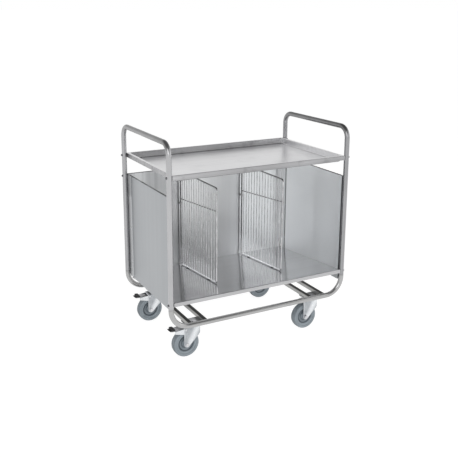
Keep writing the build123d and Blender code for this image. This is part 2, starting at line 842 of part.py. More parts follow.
tilt = -math.radians(arm_rise)
arm_plane = Plane(
    origin=(pivot_x, 0, pivot_z),
    x_dir=(-math.cos(tilt), 0, -math.sin(tilt)),
    z_dir=(-math.sin(tilt), 0, math.cos(tilt)),
)
arm_side_plane = Plane(origin=arm_plane.origin, x_dir=arm_plane.x_dir, z_dir=(0, 1, 0))
flare_rounds = (arm_flare_round, arm_flare_round)
bend = math.radians(tongue_bend)
mitre = arm_thickness / 2 * math.tan(bend / 2)
tip_out = arm_length + tongue_length * math.cos(bend)
tip_up = tongue_length * math.sin(bend)
tip_across = arm_thickness / 2 * math.sin(bend)
tip_over = arm_thickness / 2 * math.cos(bend)
peg_along = (tread_start + tread_end) / 2
with BuildPart() as brake_lever:
    with BuildSketch(arm_plane):
        with BuildLine():
            FilletPolyline(
                (0, -arm_half_width),
                (arm_flare_start, -arm_half_width),
                (arm_flare_end, -pedal_half_width),
                (arm_length, -pedal_half_width),
                (arm_length, pedal_half_width),
                (arm_flare_end, pedal_half_width),
                (arm_flare_start, arm_half_width),
                (0, arm_half_width),
                radius=(*flare_rounds, pedal_round, pedal_round, *flare_rounds),
            )
            Line((0, arm_half_width), (0, -arm_half_width))
        make_face()
    extrude(amount=arm_thickness / 2, both=True)
    with BuildSketch(arm_side_plane) as tongue:
        Polygon(
            (arm_length - tongue_root, -arm_thickness / 2),
            (arm_length + mitre, -arm_thickness / 2),
            (tip_out + tip_across, tip_up - tip_over),
            (tip_out - tip_across, tip_up + tip_over),
            (arm_length - mitre, arm_thickness / 2),
            (arm_length - tongue_root, arm_thickness / 2),
            align=None,
        )
        fillet(tongue.vertices().sort_by(Axis.X)[2:4], tongue_bend_round)
    extrude(amount=tongue_half_width, both=True)
    plate_edges = brake_lever.edges().filter_by(lambda edge: abs(edge.length - arm_thickness) < touch)
    fillet(plate_edges.sort_by(Axis.X)[:2], tongue_tip_round)
    with BuildSketch(arm_plane):
        with Locations((peg_along, 0)):
            Circle(tread_peg / 2 + touch)
    extrude(amount=arm_thickness, both=True, mode=Mode.SUBTRACT)
    with Locations(facing(pivot_x, 0, pivot_z, (0, 1, 0))):
        Cylinder(brake_barrel / 2, fork_gap - 2 * barrel_side_gap)
    with BuildSketch(Plane.XZ):
        with Locations((pivot_x - (shoe_near + shoe_far) / 2, pivot_z + shoe_rise)):
            Rectangle(shoe_far - shoe_near, shoe_depth, align=(Align.CENTER, Align.MAX))
        with Locations((-trail, wheel_r)):
            Circle(wheel_r + shoe_gap, mode=Mode.SUBTRACT)
    extrude(amount=shoe_width / 2, both=True)
    with Locations(facing(pivot_x, 0, pivot_z, (0, 1, 0))):
        Cylinder(brake_pin_diameter / 2 + running_gap, fork_gap, mode=Mode.SUBTRACT)

tread_width = 2 * (pedal_half_width + tread_side)
with BuildPart() as brake_tread:
    with BuildSketch(arm_plane.offset(arm_thickness / 2)):
        with Locations((peg_along, 0)):
            RectangleRounded(tread_end - tread_start, tread_width, tread_round)
    extrude(amount=tread_thickness)
    fillet(brake_tread.faces().sort_by(Axis.Z)[-1].edges(), tread_edge)
    with BuildSketch(arm_plane.offset(arm_thickness / 2)):
        with Locations((peg_along, 0)):
            Circle(tread_peg / 2)
    extrude(amount=-arm_thickness)
    with BuildSketch(arm_plane.offset(-arm_thickness / 2)):
        with Locations((peg_along, 0)):
            Circle(tread_peg_head / 2)
    extrude(amount=-tread_peg_head_height)

# Every castor gets its own copy of these pieces at its swivel axis
for name, x, y in castors:
    here = Location((x, y, 0))
    braked = x < 0
    save(castor_plate.part.moved(here), f"{name}_castor_plate")
    save(king_pin.part.moved(here), f"{name}_king_pin")
    save(forks[braked].moved(here), f"{name}_fork")
    save(axle.part.moved(here), f"{name}_axle")
    save(wheel_hub.part.moved(here), f"{name}_wheel_hub")
    save(tyre.part.moved(here), f"{name}_tyre")
    save(wheel_bush.part.moved(here), f"{name}_wheel_bush")
    if braked:
        save(brake_pin.part.moved(here), f"{name}_brake_pin")
        save(brake_lever.part.moved(here), f"{name}_brake_lever")
        save(brake_tread.part.moved(here), f"{name}_brake_tread")

# Bolts that hold the castor plates to the cross bars, and their nuts inside the bars
plate_bolt_spots = [
    (x + dx, y + dy)
    for _, x, y in castors
    for dx in (-plate_pitch_x / 2, plate_pitch_x / 2)
    for dy in (-plate_pitch_y / 2, plate_pitch_y / 2)
]
plate_bottom = castor_height - plate_thickness
nut_seat = castor_height + bar_wall
with BuildPart() as castor_bolts:
    with BuildSketch(Plane.XY.offset(plate_bottom)):
        with Locations(*plate_bolt_spots):
            RegularPolygon(plate_bolt_hex / 2, 6, major_radius=False)
    extrude(amount=-plate_bolt_head)
    with BuildSketch(Plane.XY.offset(plate_bottom)):
        with Locations(*plate_bolt_spots):
            Circle(plate_bolt_diameter / 2)
    extrude(amount=nut_seat + plate_nut_height + plate_bolt_past - plate_bottom)
save(castor_bolts.part, "castor_bolts")

with BuildPart() as castor_nuts:
    with BuildSketch(Plane.XY.offset(nut_seat)):
        with Locations(*plate_bolt_spots):
            RegularPolygon(plate_bolt_hex / 2, 6, major_radius=False)
            Circle(plate_bolt_diameter / 2 + touch, mode=Mode.SUBTRACT)
    extrude(amount=plate_nut_height)
save(castor_nuts.part, "castor_nuts")
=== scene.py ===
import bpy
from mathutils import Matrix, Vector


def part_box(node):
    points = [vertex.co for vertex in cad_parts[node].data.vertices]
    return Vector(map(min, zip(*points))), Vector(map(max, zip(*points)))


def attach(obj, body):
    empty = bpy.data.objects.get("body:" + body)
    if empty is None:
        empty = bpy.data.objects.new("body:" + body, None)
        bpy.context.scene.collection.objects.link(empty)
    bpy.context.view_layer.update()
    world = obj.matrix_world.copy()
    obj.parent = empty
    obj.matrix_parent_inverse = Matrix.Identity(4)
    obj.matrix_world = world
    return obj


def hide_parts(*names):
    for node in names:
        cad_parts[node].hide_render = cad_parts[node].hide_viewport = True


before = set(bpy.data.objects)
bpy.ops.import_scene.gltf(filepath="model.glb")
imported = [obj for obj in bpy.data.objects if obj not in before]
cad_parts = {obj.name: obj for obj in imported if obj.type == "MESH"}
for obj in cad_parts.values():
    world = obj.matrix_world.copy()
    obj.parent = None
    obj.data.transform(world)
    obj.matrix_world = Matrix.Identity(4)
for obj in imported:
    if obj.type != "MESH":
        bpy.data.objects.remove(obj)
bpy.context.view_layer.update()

import math

import bmesh
import bpy
import numpy as np

# Handle frames and rails: stainless round tube, each handle bent in one piece with its two posts and
# each rail turned up at both ends. They are butt-welded where they meet and ground to one satin skin.
TUBE_R = 0.0125
POST_Y = 0.280
RAIL_Z = 0.1775
TUBE_JOINT_Z = 0.2755
WELD_FADE = (0.001, 0.008)
WELD_DULL = 0.22
GRIP_Z = (0.985, 1.035)
GRIP_DULL = 0.38
# The handle frames grow darker towards the rear.
REAR_DARKENING_Y = (-0.2, 0.25)
REAR_DARKENING = 0.2
STREAK_DETAIL = 4.0
STREAK_SOFTNESS = 0.45
CLOUD_DETAIL = 2.0
TONE_SPREAD = (0.25, 0.75)
DARK_STOP = 0.15
DARK_STOP_OVER_WORN_AND_SHADED = 0.3
PALE_STOP = 0.62
BLUR_TONES = (0.2, 0.8)
BLUR_AT_DARK = 0.07
BLUR_AT_PALE = -0.05
BLASTED_BLUR = 0.4
BRUSH_STRENGTH = 0.05
BRUSH_DEPTH = 0.00001


def add_node(tree, kind, wires, **settings):
    """One shader node: settings are its properties, wires gives each input a value or another node's
    output."""
    made = tree.nodes.new("ShaderNode" + kind)
    for key, value in settings.items():
        setattr(made, key, value)
    for socket, source in wires.items():
        if isinstance(source, bpy.types.NodeSocket):
            tree.links.new(source, made.inputs[socket])
        else:
            made.inputs[socket].default_value = source
    return made


def tone_ramp(tree, value, stops):
    """Colour ramp: each stop is a place from 0 to 1 and the grey or colour that stands there."""
    ramp = add_node(tree, "ValToRGB", {"Fac": value})
    band = ramp.color_ramp
    while len(band.elements) < len(stops):
        band.elements.new(0.5)
    for element, (place, colour) in zip(band.elements, stops):
        element.position = place
        element.color = (*colour, 1.0)
    return ramp.outputs["Color"]


def spread(tree, value, low, high, start, end):
    """Straight-line change of scale: low..high of the value becomes start..end, held at the ends."""
    sockets = {"Value": value, "From Min": low, "From Max": high, "To Min": start, "To Max": end}
    return add_node(tree, "MapRange", sockets).outputs["Result"]


def combine(tree, first, second, operation="ADD"):
    """One arithmetic step between two values."""
    return add_node(tree, "Math", {0: first, 1: second}, operation=operation).outputs["Value"]


def unsigned(tree, value):
    """The value without its sign."""
    return combine(tree, value, 0.0, "ABSOLUTE")


def axes_of(tree, vector):
    """The X, Y and Z of a vector, each as a value of its own."""
    return add_node(tree, "SeparateXYZ", {"Vector": vector}).outputs


def noise(tree, vector, scale, detail, **more):
    """Cloudy noise from 0 to 1: scale is the number of clouds to a metre, detail the finer layers added
    to them."""
    sockets = {"Vector": vector, "Scale": scale, "Detail": detail, **more}
    return add_node(tree, "TexNoise", sockets).outputs["Fac"]


def satin_steel(name, dark, pale, rough, grain, clouds, wear_and_shade=None, worn_and_shaded=(), comb=None, matt=None):
    """Satin stainless steel: streaks stretched along the polishing direction and slow clouds are added
    up; their sum moves the grey from dark to pale and the roughness about its mean, and the streaks are
    the bump. The wear and shade function, if given, returns what is taken off the sum, as at a ground
    weld, at a fold and where shade is painted, past dark to the stops given for worn and shaded skin;
    below 0 it brightens, as painted light. comb, if given, is the axis that the brushing runs round, how
    strongly the reflection spreads and its turn from that direction. matt, if given, returns 1 where the
    skin is blasted instead of brushed and 0 elsewhere."""
    steel = bpy.data.materials.new(name)
    steel.use_nodes = True
    tree = steel.node_tree
    skin = tree.nodes["Principled BSDF"]
    spot = add_node(tree, "TexCoord", {}).outputs["Object"]
    along = add_node(tree, "Mapping", {"Vector": spot, "Scale": grain}).outputs["Vector"]
    streaks = noise(tree, along, 1.0, STREAK_DETAIL, Roughness=STREAK_SOFTNESS)
    slow = noise(tree, spot, clouds, CLOUD_DETAIL)
    tone = spread(tree, combine(tree, streaks, slow), 0.0, 2.0, *TONE_SPREAD)
    if wear_and_shade:
        tone = combine(tree, tone, wear_and_shade(tree, spot), "SUBTRACT")
    stops = (*worn_and_shaded, (DARK_STOP_OVER_WORN_AND_SHADED if worn_and_shaded else DARK_STOP, dark), (PALE_STOP, pale))
    tree.links.new(tone_ramp(tree, tone, stops), skin.inputs["Base Color"])
    blur = spread(tree, tone, *BLUR_TONES, rough + BLUR_AT_DARK, rough + BLUR_AT_PALE)
    skin.inputs["Metallic"].default_value = 1.0
    if comb:
        brushed = add_node(tree, "Tangent", {}, direction_type="RADIAL", axis=comb[0])
        tree.links.new(brushed.outputs["Tangent"], skin.inputs["Tangent"])
        skin.inputs["Anisotropic"].default_value = comb[1]
        skin.inputs["Anisotropic Rotation"].default_value = comb[2]
    if matt:
        blasted = matt(tree, spot)
        blur = combine(tree, blur, spread(tree, blasted, 0.0, 1.0, 0.0, BLASTED_BLUR))
        tree.links.new(spread(tree, blasted, 0.0, 1.0, comb[1], 0.0), skin.inputs["Anisotropic"])
    tree.links.new(blur, skin.inputs["Roughness"])
    relief = add_node(tree, "Bump", {"Height": streaks, "Strength": BRUSH_STRENGTH, "Distance": BRUSH_DEPTH})
    tree.links.new(relief.outputs["Normal"], skin.inputs["Normal"])
    return steel


def dress(node, finish):
    """Put a finish into every material slot of a CAD node."""
    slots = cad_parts[node].data.materials
    for place in range(len(slots)):
        slots[place] = finish
    if not slots:
        slots.append(finish)


def weld_band(tree, spot):
    """Height above or below the butt weld, as a mark that fades out a few millimetres from it."""
    away = unsigned(tree, combine(tree, axes_of(tree, spot)["Z"], TUBE_JOINT_Z, "SUBTRACT"))
    return spread(tree, away, *WELD_FADE, WELD_DULL, 0.0)


def gripped(tree, spot):
    """The larger of height above the posts, as the dulling that hands leave along the handle, and nearness
    to the rear, as a darkening towards the rear, added to the weld's mark."""
    place = axes_of(tree, spot)
    held = spread(tree, place["Z"], *GRIP_Z, 0.0, GRIP_DULL)
    coarse = spread(tree, place["Y"], *REAR_DARKENING_Y, 0.0, REAR_DARKENING)
    return combine(tree, combine(tree, held, coarse, "MAXIMUM"), weld_band(tree, spot))


left_post_finish = satin_steel(
    "satin_left_post_tube", dark=(0.42, 0.42, 0.43), pale=(0.52, 0.52, 0.53), rough=0.22,
    grain=(200, 12, 12), clouds=9.0, wear_and_shade=gripped, worn_and_shaded=((0.0, (0.26, 0.26, 0.26)),),
)
# The right handle frame takes a darker copy of the left one's finish: painted shade.
right_post_shaded_finish = satin_steel(
    "satin_right_post_tube_painted_shade", dark=(0.30, 0.30, 0.31), pale=(0.39, 0.39, 0.40), rough=0.22,
    grain=(200, 12, 12), clouds=9.0, wear_and_shade=gripped, worn_and_shaded=((0.0, (0.18, 0.18, 0.18)),),
)
rail_finish = satin_steel(
    "satin_rail_tube", dark=(0.34, 0.34, 0.34), pale=(0.48, 0.48, 0.48), rough=0.22,
    grain=(12, 200, 12), clouds=9.0, wear_and_shade=weld_band,
)
dress("left_handle_frame", left_post_finish)
dress("right_handle_frame", right_post_shaded_finish)
for tube in ("front_rail", "rear_rail"):
    dress(tube, rail_finish)

# Cross bars: four lengths of square stainless tube with rolled corners, coped to the round rails and
# welded on all round. Each pair carries the plates of the two castors at its end.
BAR_WALL = 0.0015
BAR_ROUND = 0.0025
BAR_ROUND_STEPS = 5
BAR_STATIONS = 9
BEAD_R = 0.0022
BEAD_FLAT = 0.6
BEAD_RIPPLE = 0.10
BEAD_RIPPLE_TURN = 46.0
BEAD_POINTS = 10
BEAD_SHARE = 0.9995
# Painted shade on faces that look up: how far a face must look up, and how dark it gets.
UP_FACE_SHADE_TILT = (0.5, 0.95)
UP_FACE_SHADE = 0.4


def weave(rows, columns):
    """Quads of a sheet of points numbered row by row, closed round along the columns."""
    row = np.arange(rows - 1)[:, None] * columns
    here = np.arange(columns)[None, :]
    after = (here + 1) % columns
    quads = np.stack([row + here, row + after, row + columns + after, row + columns + here], axis=-1)
    return quads.reshape(-1, 4).tolist()


def weave_ring(rows, columns):
    """The same quads with the last row joined back to the first, as round a sleeve or a wheel."""
    here = np.arange(columns)
    after = (here + 1) % columns
    last = (rows - 1) * columns
    return weave(rows, columns) + np.stack([last + here, last + after, after, here], axis=-1).tolist()


def make_piece(name, points, faces, finish, body, slot, crease=38.0):
    """A mesh object from points and faces: normals turned outwards, smooth except where faces meet at an
    angle over the crease, riding on a body with one finish."""
    mesh = bpy.data.meshes.new(name)
    mesh.from_pydata(np.asarray(points).reshape(-1, 3).tolist(), [], faces)
    shell = bmesh.new()
    shell.from_mesh(mesh)
    bmesh.ops.recalc_face_normals(shell, faces=shell.faces)
    shell.to_mesh(mesh)
    shell.free()
    mesh.shade_smooth()
    mesh.set_sharp_from_angle(angle=math.radians(crease))
    mesh.materials.append(finish)
    piece = bpy.data.objects.new(name, mesh)
    bpy.context.scene.collection.objects.link(piece)
    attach(piece, body)
    return piece


def rounded_ring(half_u, half_v, corner, steps=8, edge=0.0006):
    """Points round a rectangle with round corners: each corner is a quarter circle about its own centre,
    with one more point just past each end of it so that the straight sides stay flat."""
    turn = np.linspace(0.0, math.pi / 2, steps + 1)
    quarter = np.stack([np.cos(turn), np.sin(turn)], axis=-1) * corner
    quarter = np.vstack([quarter[:1] - [[0.0, edge]], quarter, quarter[-1:] - [[edge, 0.0]]])
    loop = []
    for quadrant, signs in enumerate(([1, 1], [-1, 1], [-1, -1], [1, -1])):
        angle = quadrant * math.pi / 2
        spin = np.array([[math.cos(angle), math.sin(angle)], [-math.sin(angle), math.cos(angle)]])
        loop.append(quarter @ spin + np.array(signs) * [half_u - corner, half_v - corner])
    return np.vstack(loop)


def facing(tree, axis):
    """The part of the surface's own normal along one axis: 1 on a face that looks along it, -1 on the
    opposite."""
    return axes_of(tree, add_node(tree, "NewGeometry", {}).outputs["Normal"])[axis]


def painted_top_shade(tree, spot):
    """Painted shade: the faces that look up are darkened, as a painted dark reflection of what hangs over
    them.
    """
    return spread(tree, facing(tree, "Z"), *UP_FACE_SHADE_TILT, 0.0, UP_FACE_SHADE)


def coped(section, share):
    """A section of the bar at a share of its length: its ends follow the rail's round face, so each
    point's reach is the rail's distance less the height of the tube's circle there."""
    reach = POST_Y - np.sqrt(np.maximum(TUBE_R**2 - (section[:, 1] - RAIL_Z) ** 2, 0.0))
    return np.stack([section[:, 0], share * reach, section[:, 1]], axis=-1)


def weld_bead(seam, middle):
    """A rippled bead along a closed seam: each point of the seam carries a flattened circle that stands
    on the way out from the bar's middle and on the direction square to that and to the seam; its size
    follows a sine."""
    step = np.roll(seam, -1, axis=0) - np.roll(seam, 1, axis=0)
    step /= np.linalg.norm(step, axis=1, keepdims=True)
    out = np.stack([seam[:, 0] - middle[0], np.zeros(len(seam)), seam[:, 2] - middle[1]], axis=-1)
    out -= step * np.sum(out * step, axis=1, keepdims=True)
    out /= np.linalg.norm(out, axis=1, keepdims=True)
    side = np.cross(step, out)
    ripple = np.sin(np.linspace(0.0, BEAD_RIPPLE_TURN, len(seam)))
    size = BEAD_R * (1.0 + BEAD_RIPPLE * ripple)[:, None]
    circle = np.linspace(0.0, 2 * math.pi, BEAD_POINTS, endpoint=False)
    rows = [seam + size * (out * BEAD_FLAT * math.cos(turn) + side * math.sin(turn)) for turn in circle]
    return np.array(rows), weave_ring(BEAD_POINTS, len(seam))


# The bars' upward faces take painted shade, near black.
bar_finish = satin_steel(
    "mill_square_tube", dark=(0.022, 0.022, 0.02), pale=(0.44, 0.44, 0.43), rough=0.30,
    grain=(160, 4, 160), clouds=12.0, wear_and_shade=painted_top_shade,
)
bead_finish = satin_steel(
    "weld_bead_steel", dark=(0.12, 0.115, 0.11), pale=(0.30, 0.29, 0.28), rough=0.34,
    grain=(300, 300, 300), clouds=60.0,
)
for place in ("left_outer", "left_inner", "right_outer", "right_inner"):
    bar = f"{place}_cross_bar"
    low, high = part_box(bar)
    middle = np.array([(low.x + high.x) / 2, (low.z + high.z) / 2])
    half = (high.x - low.x) / 2
    bore_half = half - BAR_WALL
    skin = rounded_ring(half, half, BAR_ROUND, BAR_ROUND_STEPS) + middle
    bore = rounded_ring(bore_half, bore_half, BAR_ROUND - BAR_WALL, BAR_ROUND_STEPS) + middle
    shares = np.linspace(-1.0, 1.0, BAR_STATIONS)
    sleeve = [coped(skin, share) for share in shares] + [coped(bore, share) for share in shares[::-1]]
    faces = weave_ring(len(sleeve), len(skin))
    tube = make_piece(f"{bar}_tube", np.array(sleeve), faces, bar_finish, "frame", "bar_steel")
    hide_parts(bar)
    for end, share in (("front", -BEAD_SHARE), ("rear", BEAD_SHARE)):
        bead = weld_bead(coped(skin, share), middle)
        make_piece(f"{bar}_{end}_weld", *bead, bead_finish, "frame", "bar_steel")

# Upper shelf: a tray pressed from one stainless sheet, its wall rolled over into a hem that turns down
# again outside, with the corners welded and ground. It is bolted to the four posts through the hem.
SHEET = 0.0012
HEM_WIDTH = 0.016
HEM_SKIRT = 0.022
HEM_BEND = 0.003
TRAY_COVE = 0.005
TRAY_FLAT = 0.030
OUTER_CORNER = 0.003
INNER_CORNER = 0.010
WALL_TILT = (0.2, 0.7)
# Painted shade on the tray's long walls and hems, and how it is shared out towards the rear.
WALL_SHADE = 0.32
REAR_WALL_Y = (0.200, 0.262)
REAR_WALL_SHADE_SHARE = 1.15
REAR_HEM_Y = (0.2735, 0.2755)
REAR_HEM_SHADE_SHARE = 0.55
END_HEM_INSET = (0.0012, 0.0004)
END_HEM_DULL = 0.33
SMEAR_SCALE = 14.0
SMEAR_DETAIL = 3.0
SMEAR_BAND = (0.55, 0.75)
SMEAR_DULL = 0.12


def bent_line(corners, bends, steps=6, edge=0.0003):
    """A line with rounded corners and its left-hand normals: at each inner corner the two legs are cut
    back by bend x tan(half the turn) and joined by an arc, with one more point on each leg just before
    the arc."""
    corners = np.asarray(corners, float)
    legs = np.diff(corners, axis=0)
    legs /= np.linalg.norm(legs, axis=1, keepdims=True)
    left = np.stack([-legs[:, 1], legs[:, 0]], axis=-1)
    points, normals = [corners[0]], [left[0]]
    for k, bend in enumerate(bends):
        corner, come, go = corners[k + 1], legs[k], legs[k + 1]
        turn = math.atan2(come[0] * go[1] - come[1] * go[0], float(come @ go))
        cut = bend * math.tan(abs(turn) / 2)
        radius = math.copysign(bend, turn)
        centre = corner - come * cut + left[k] * radius
        swing = np.linspace(0.0, turn, steps + 1)
        spin = np.stack([np.cos(swing), -np.sin(swing), np.sin(swing), np.cos(swing)], axis=-1)
        outward = spin.reshape(-1, 2, 2) @ left[k]
        points += [corner - come * (cut + edge), *(centre - outward * radius), corner + go * (cut + edge)]
        normals += [left[k], *outward, left[k + 1]]
    points.append(corners[-1])
    normals.append(left[-1])
    return np.array(points), np.array(normals)


def sheet_loop(corners, bends, thickness):
    """The closed edge-on outline of a bent sheet: one face along the line, the other off it by the
    thickness."""
    line, normal = bent_line(corners, bends)
    return np.vstack([line, (line + normal * thickness)[::-1]])


low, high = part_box("upper_shelf")
half_x, half_y, rim_z, floor_z = high.x, high.y, high.z, low.z + SHEET
tray_line = [
    (TRAY_FLAT, floor_z), (HEM_WIDTH, floor_z), (HEM_WIDTH, rim_z), (0.0, rim_z), (0.0, rim_z - HEM_SKIRT),
]
tray_rings = []
for inset, height in sheet_loop(tray_line, (TRAY_COVE, HEM_BEND, HEM_BEND), SHEET):
    corner = np.interp(inset, (0.0, HEM_WIDTH), (OUTER_CORNER, INNER_CORNER))
    ring = rounded_ring(half_x - inset, half_y - inset, corner)
    tray_rings.append(np.column_stack([ring, np.full(len(ring), height)]))
count = len(tray_rings[0])
faces = weave(len(tray_rings), count)
faces.append(list(range(count)))
faces.append(list(range((len(tray_rings) - 1) * count, len(tray_rings) * count)))


def painted_wall_shade_and_smears(tree, spot):
    """How far the surface's own normal looks along Y either way, as painted shade on the long walls and
    hems, deepest on the rear wall's inside and least on the rear hem. The outer skin of the end hems
    takes the larger of that and its own dulling, and smears that run with slow noise are added on all of
    it."""
    place = axes_of(tree, spot)
    wall = spread(tree, unsigned(tree, facing(tree, "Y")), *WALL_TILT, 0.0, WALL_SHADE)
    inside = spread(tree, place["Y"], *REAR_WALL_Y, 1.0, REAR_WALL_SHADE_SHARE)
    hem = spread(tree, place["Y"], *REAR_HEM_Y, 1.0, REAR_HEM_SHADE_SHARE)
    wall = combine(tree, wall, combine(tree, inside, hem, "MULTIPLY"), "MULTIPLY")
    skin_x = [half_x - inset for inset in END_HEM_INSET]
    end = spread(tree, unsigned(tree, place["X"]), *skin_x, 0.0, END_HEM_DULL)
    smears = spread(tree, noise(tree, spot, SMEAR_SCALE, SMEAR_DETAIL), *SMEAR_BAND, 0.0, SMEAR_DULL)
    return combine(tree, combine(tree, wall, end, "MAXIMUM"), smears)


upper_finish = satin_steel(
    "brushed_upper_sheet", dark=(0.78, 0.78, 0.79), pale=(0.89, 0.89, 0.90), rough=0.30,
    grain=(0.8, 60, 60), clouds=3.0, wear_and_shade=painted_wall_shade_and_smears,
    worn_and_shaded=((0.0, (0.24, 0.24, 0.245)), (0.2, (0.45, 0.45, 0.46))), comb=("X", 0.5, 0.25),
)
tray = make_piece("upper_tray", np.array(tray_rings), faces, upper_finish, "frame", "upper_shelf_steel")
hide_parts("upper_shelf")

# Lower shelf: a stainless sheet that leans to the back, its front turned down as an apron and its ends and
# rear folded under. It is bolted to the front posts and riveted to the back panel, with four peg holes.
APRON = 0.020
APRON_BEND = 0.003
# Painted shade on the apron's faces.
APRON_SHADE = 0.42
REAR_SKIRT = 0.018
REAR_SKIRT_INSET = 0.040
END_STOP = 0.033
LAP_FROM = 0.2425
LAP_OUT = 0.0017
PAD_THICK = 0.003
PAD_LENGTH = 0.020
PAD_HEIGHT = 0.0169
SHELF_FALL = math.radians(5.0)
PEG_X = (-0.175, 0.198)
PEG_Y = (-0.059, 0.187)
PEG_HOLE_R = 0.00605
HOLE_POINTS = 24
BAYS = len(PEG_X) + 1


def run_section(loop, start, end, axes):
    """A closed outline drawn straight from start to end, with both ends filled. axes names the axis of
    the outline's first value, that of its second and that of the draw."""
    ring = len(loop)
    order = [axes.index(axis) for axis in "XYZ"]
    points = np.vstack([np.column_stack([loop, np.full(ring, reach)])[:, order] for reach in (start, end)])
    faces = weave(2, ring) + [list(range(ring)), list(range(ring, 2 * ring))]
    return points, faces


def join_shells(shells):
    """Several closed shells in one mesh: the points in a row and each shell's faces numbered on from the
    last."""
    points, faces, first = [], [], 0
    for shell_points, shell_faces in shells:
        points.append(shell_points)
        faces += [[first + corner for corner in face] for face in shell_faces]
        first += len(shell_points)
    return np.vstack(points), faces


def slab(low, high):
    """A plain flat strip of sheet between two opposite corners."""
    loop = np.array([(low[0], low[1]), (high[0], low[1]), (high[0], high[1]), (low[0], high[1])])
    return run_section(loop, low[2], high[2], "XYZ")


low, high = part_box("lower_shelf")
pad_x, front_y, back_y, front_z = high.x, low.y, high.y, high.z
end_x = pad_x - PAD_THICK
sink = SHEET / math.cos(SHELF_FALL)


def shelf_z(y):
    """Height of the shelf's top face at a distance from the middle: it falls evenly to the back."""
    return front_z - (y - front_y) * math.tan(SHELF_FALL)


def leaning_strip(near, far, bottom, top):
    """Outline in Y and Z of a strip that leans with the shelf, between two depths under its top face."""
    return np.array([
        (near, shelf_z(near) - bottom), (far, shelf_z(far) - bottom),
        (far, shelf_z(far) - top), (near, shelf_z(near) - top),
    ])


apron_line, apron_normal = bent_line(
    [(front_y, front_z - APRON), (front_y, front_z), (back_y, shelf_z(back_y))], (APRON_BEND,)
)
bays_x = np.array([-end_x, *PEG_X, end_x])
hole_turn = np.linspace(-math.pi / 2, 1.5 * math.pi, HOLE_POINTS, endpoint=False)
half_hole = HOLE_POINTS // 2
shelf_points, shelf_faces = [], []


def put(points):
    """Add points to the shelf and give back their numbers."""
    first = sum(len(group) for group in shelf_points)
    shelf_points.append(np.asarray(points, float).reshape(-1, 3))
    return list(range(first, first + len(shelf_points[-1])))


# The sheet's top and underside: rows of points round the apron's bend to the rear, then the rims of the peg
# holes. Each bay between two columns of holes is one face that runs round the halves of the holes beside it.
sheet_rows, hole_rims = {}, {}
for face, shift, drop in (("top", 0.0, 0.0), ("under", -SHEET, -sink)):
    line = apron_line + apron_normal * shift
    rows = [put([(x, y, z) for x in bays_x]) for y, z in line[:-1]]
    rows.append(put([(x, back_y, shelf_z(back_y) + drop) for x in bays_x]))
    for near, far in zip(rows[:-2], rows[1:-1]):
        shelf_faces += [[near[k], near[k + 1], far[k + 1], far[k]] for k in range(BAYS)]
    rims = {}
    for k, x in enumerate(PEG_X):
        rims[k] = []
        for y in PEG_Y:
            hole_x, hole_y = x + PEG_HOLE_R * np.cos(hole_turn), y + PEG_HOLE_R * np.sin(hole_turn)
            rims[k].append(put(np.column_stack([hole_x, hole_y, shelf_z(hole_y) + drop])))
    near, far = rows[-2:]
    for k in range(BAYS):
        right = sum((rim[:1] + rim[:half_hole - 1:-1] for rim in rims.get(k, [])), [])
        left = sum((rim[:half_hole + 1] for rim in rims.get(k - 1, [])), [])
        shelf_faces.append([near[k], near[k + 1], *right, far[k + 1], far[k], *left[::-1]])
    sheet_rows[face] = rows
    hole_rims[face] = rims[0] + rims[1]
around = [(k, (k + 1) % HOLE_POINTS) for k in range(HOLE_POINTS)]
for upper, under in zip(hole_rims["top"], hole_rims["under"]):
    shelf_faces += [[upper[k], upper[after], under[after], under[k]] for k, after in around]
for k in range(BAYS):
    for row in (0, -1):
        upper, under = sheet_rows["top"][row], sheet_rows["under"][row]
        shelf_faces.append([upper[k], upper[k + 1], under[k + 1], under[k]])
for k in (0, BAYS):
    shelf_faces.append([row[k] for row in sheet_rows["top"]] + [row[k] for row in sheet_rows["under"]][::-1])

# The rear skirt under the sheet, and at each end its fold, the lap that reaches the side panel, and the pad
# through which the front post's bolt goes.
shells = [(np.vstack(shelf_points), shelf_faces)]
skirt_x = end_x - REAR_SKIRT_INSET
skirt_top = shelf_z(back_y) - sink
shells.append(slab((-skirt_x, back_y - SHEET, skirt_top - REAR_SKIRT + sink), (skirt_x, back_y, skirt_top)))
bolt_z = shelf_z(-POST_Y) - APRON / 2
for side in (-1, 1):
    fold = leaning_strip(front_y + SHEET, back_y - END_STOP, APRON, sink)
    shells.append(run_section(fold, side * (end_x - SHEET), side * end_x, "YZX"))
    lap = leaning_strip(LAP_FROM, back_y, sink, 0.0)
    shells.append(run_section(lap, side * (end_x - SHEET), side * (end_x + LAP_OUT), "YZX"))
    pad = sorted((side * end_x, side * pad_x))
    shells.append(slab(
        (pad[0], front_y, bolt_z - PAD_HEIGHT / 2), (pad[1], front_y + PAD_LENGTH, bolt_z + PAD_HEIGHT / 2)
    ))


def painted_apron_shade(tree, spot):
    """How far the surface's own normal looks along Y, as painted shade on the apron, added to the painted
    shade on the faces that look up."""
    apron = spread(tree, unsigned(tree, facing(tree, "Y")), *WALL_TILT, 0.0, APRON_SHADE)
    return combine(tree, apron, painted_top_shade(tree, spot))


lower_finish = satin_steel(
    "bright_lower_sheet", dark=(0.60, 0.60, 0.61), pale=(0.73, 0.73, 0.74), rough=0.08,
    grain=(0.8, 60, 60), clouds=3.0, wear_and_shade=painted_apron_shade,
    worn_and_shaded=((0.0, (0.44, 0.44, 0.45)), (0.2, (0.56, 0.56, 0.57))), comb=("X", 0.5, 0.0),
)
shelf = make_piece("lower_tray", *join_shells(shells), lower_finish, "frame", "lower_shelf_steel")
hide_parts("lower_shelf")

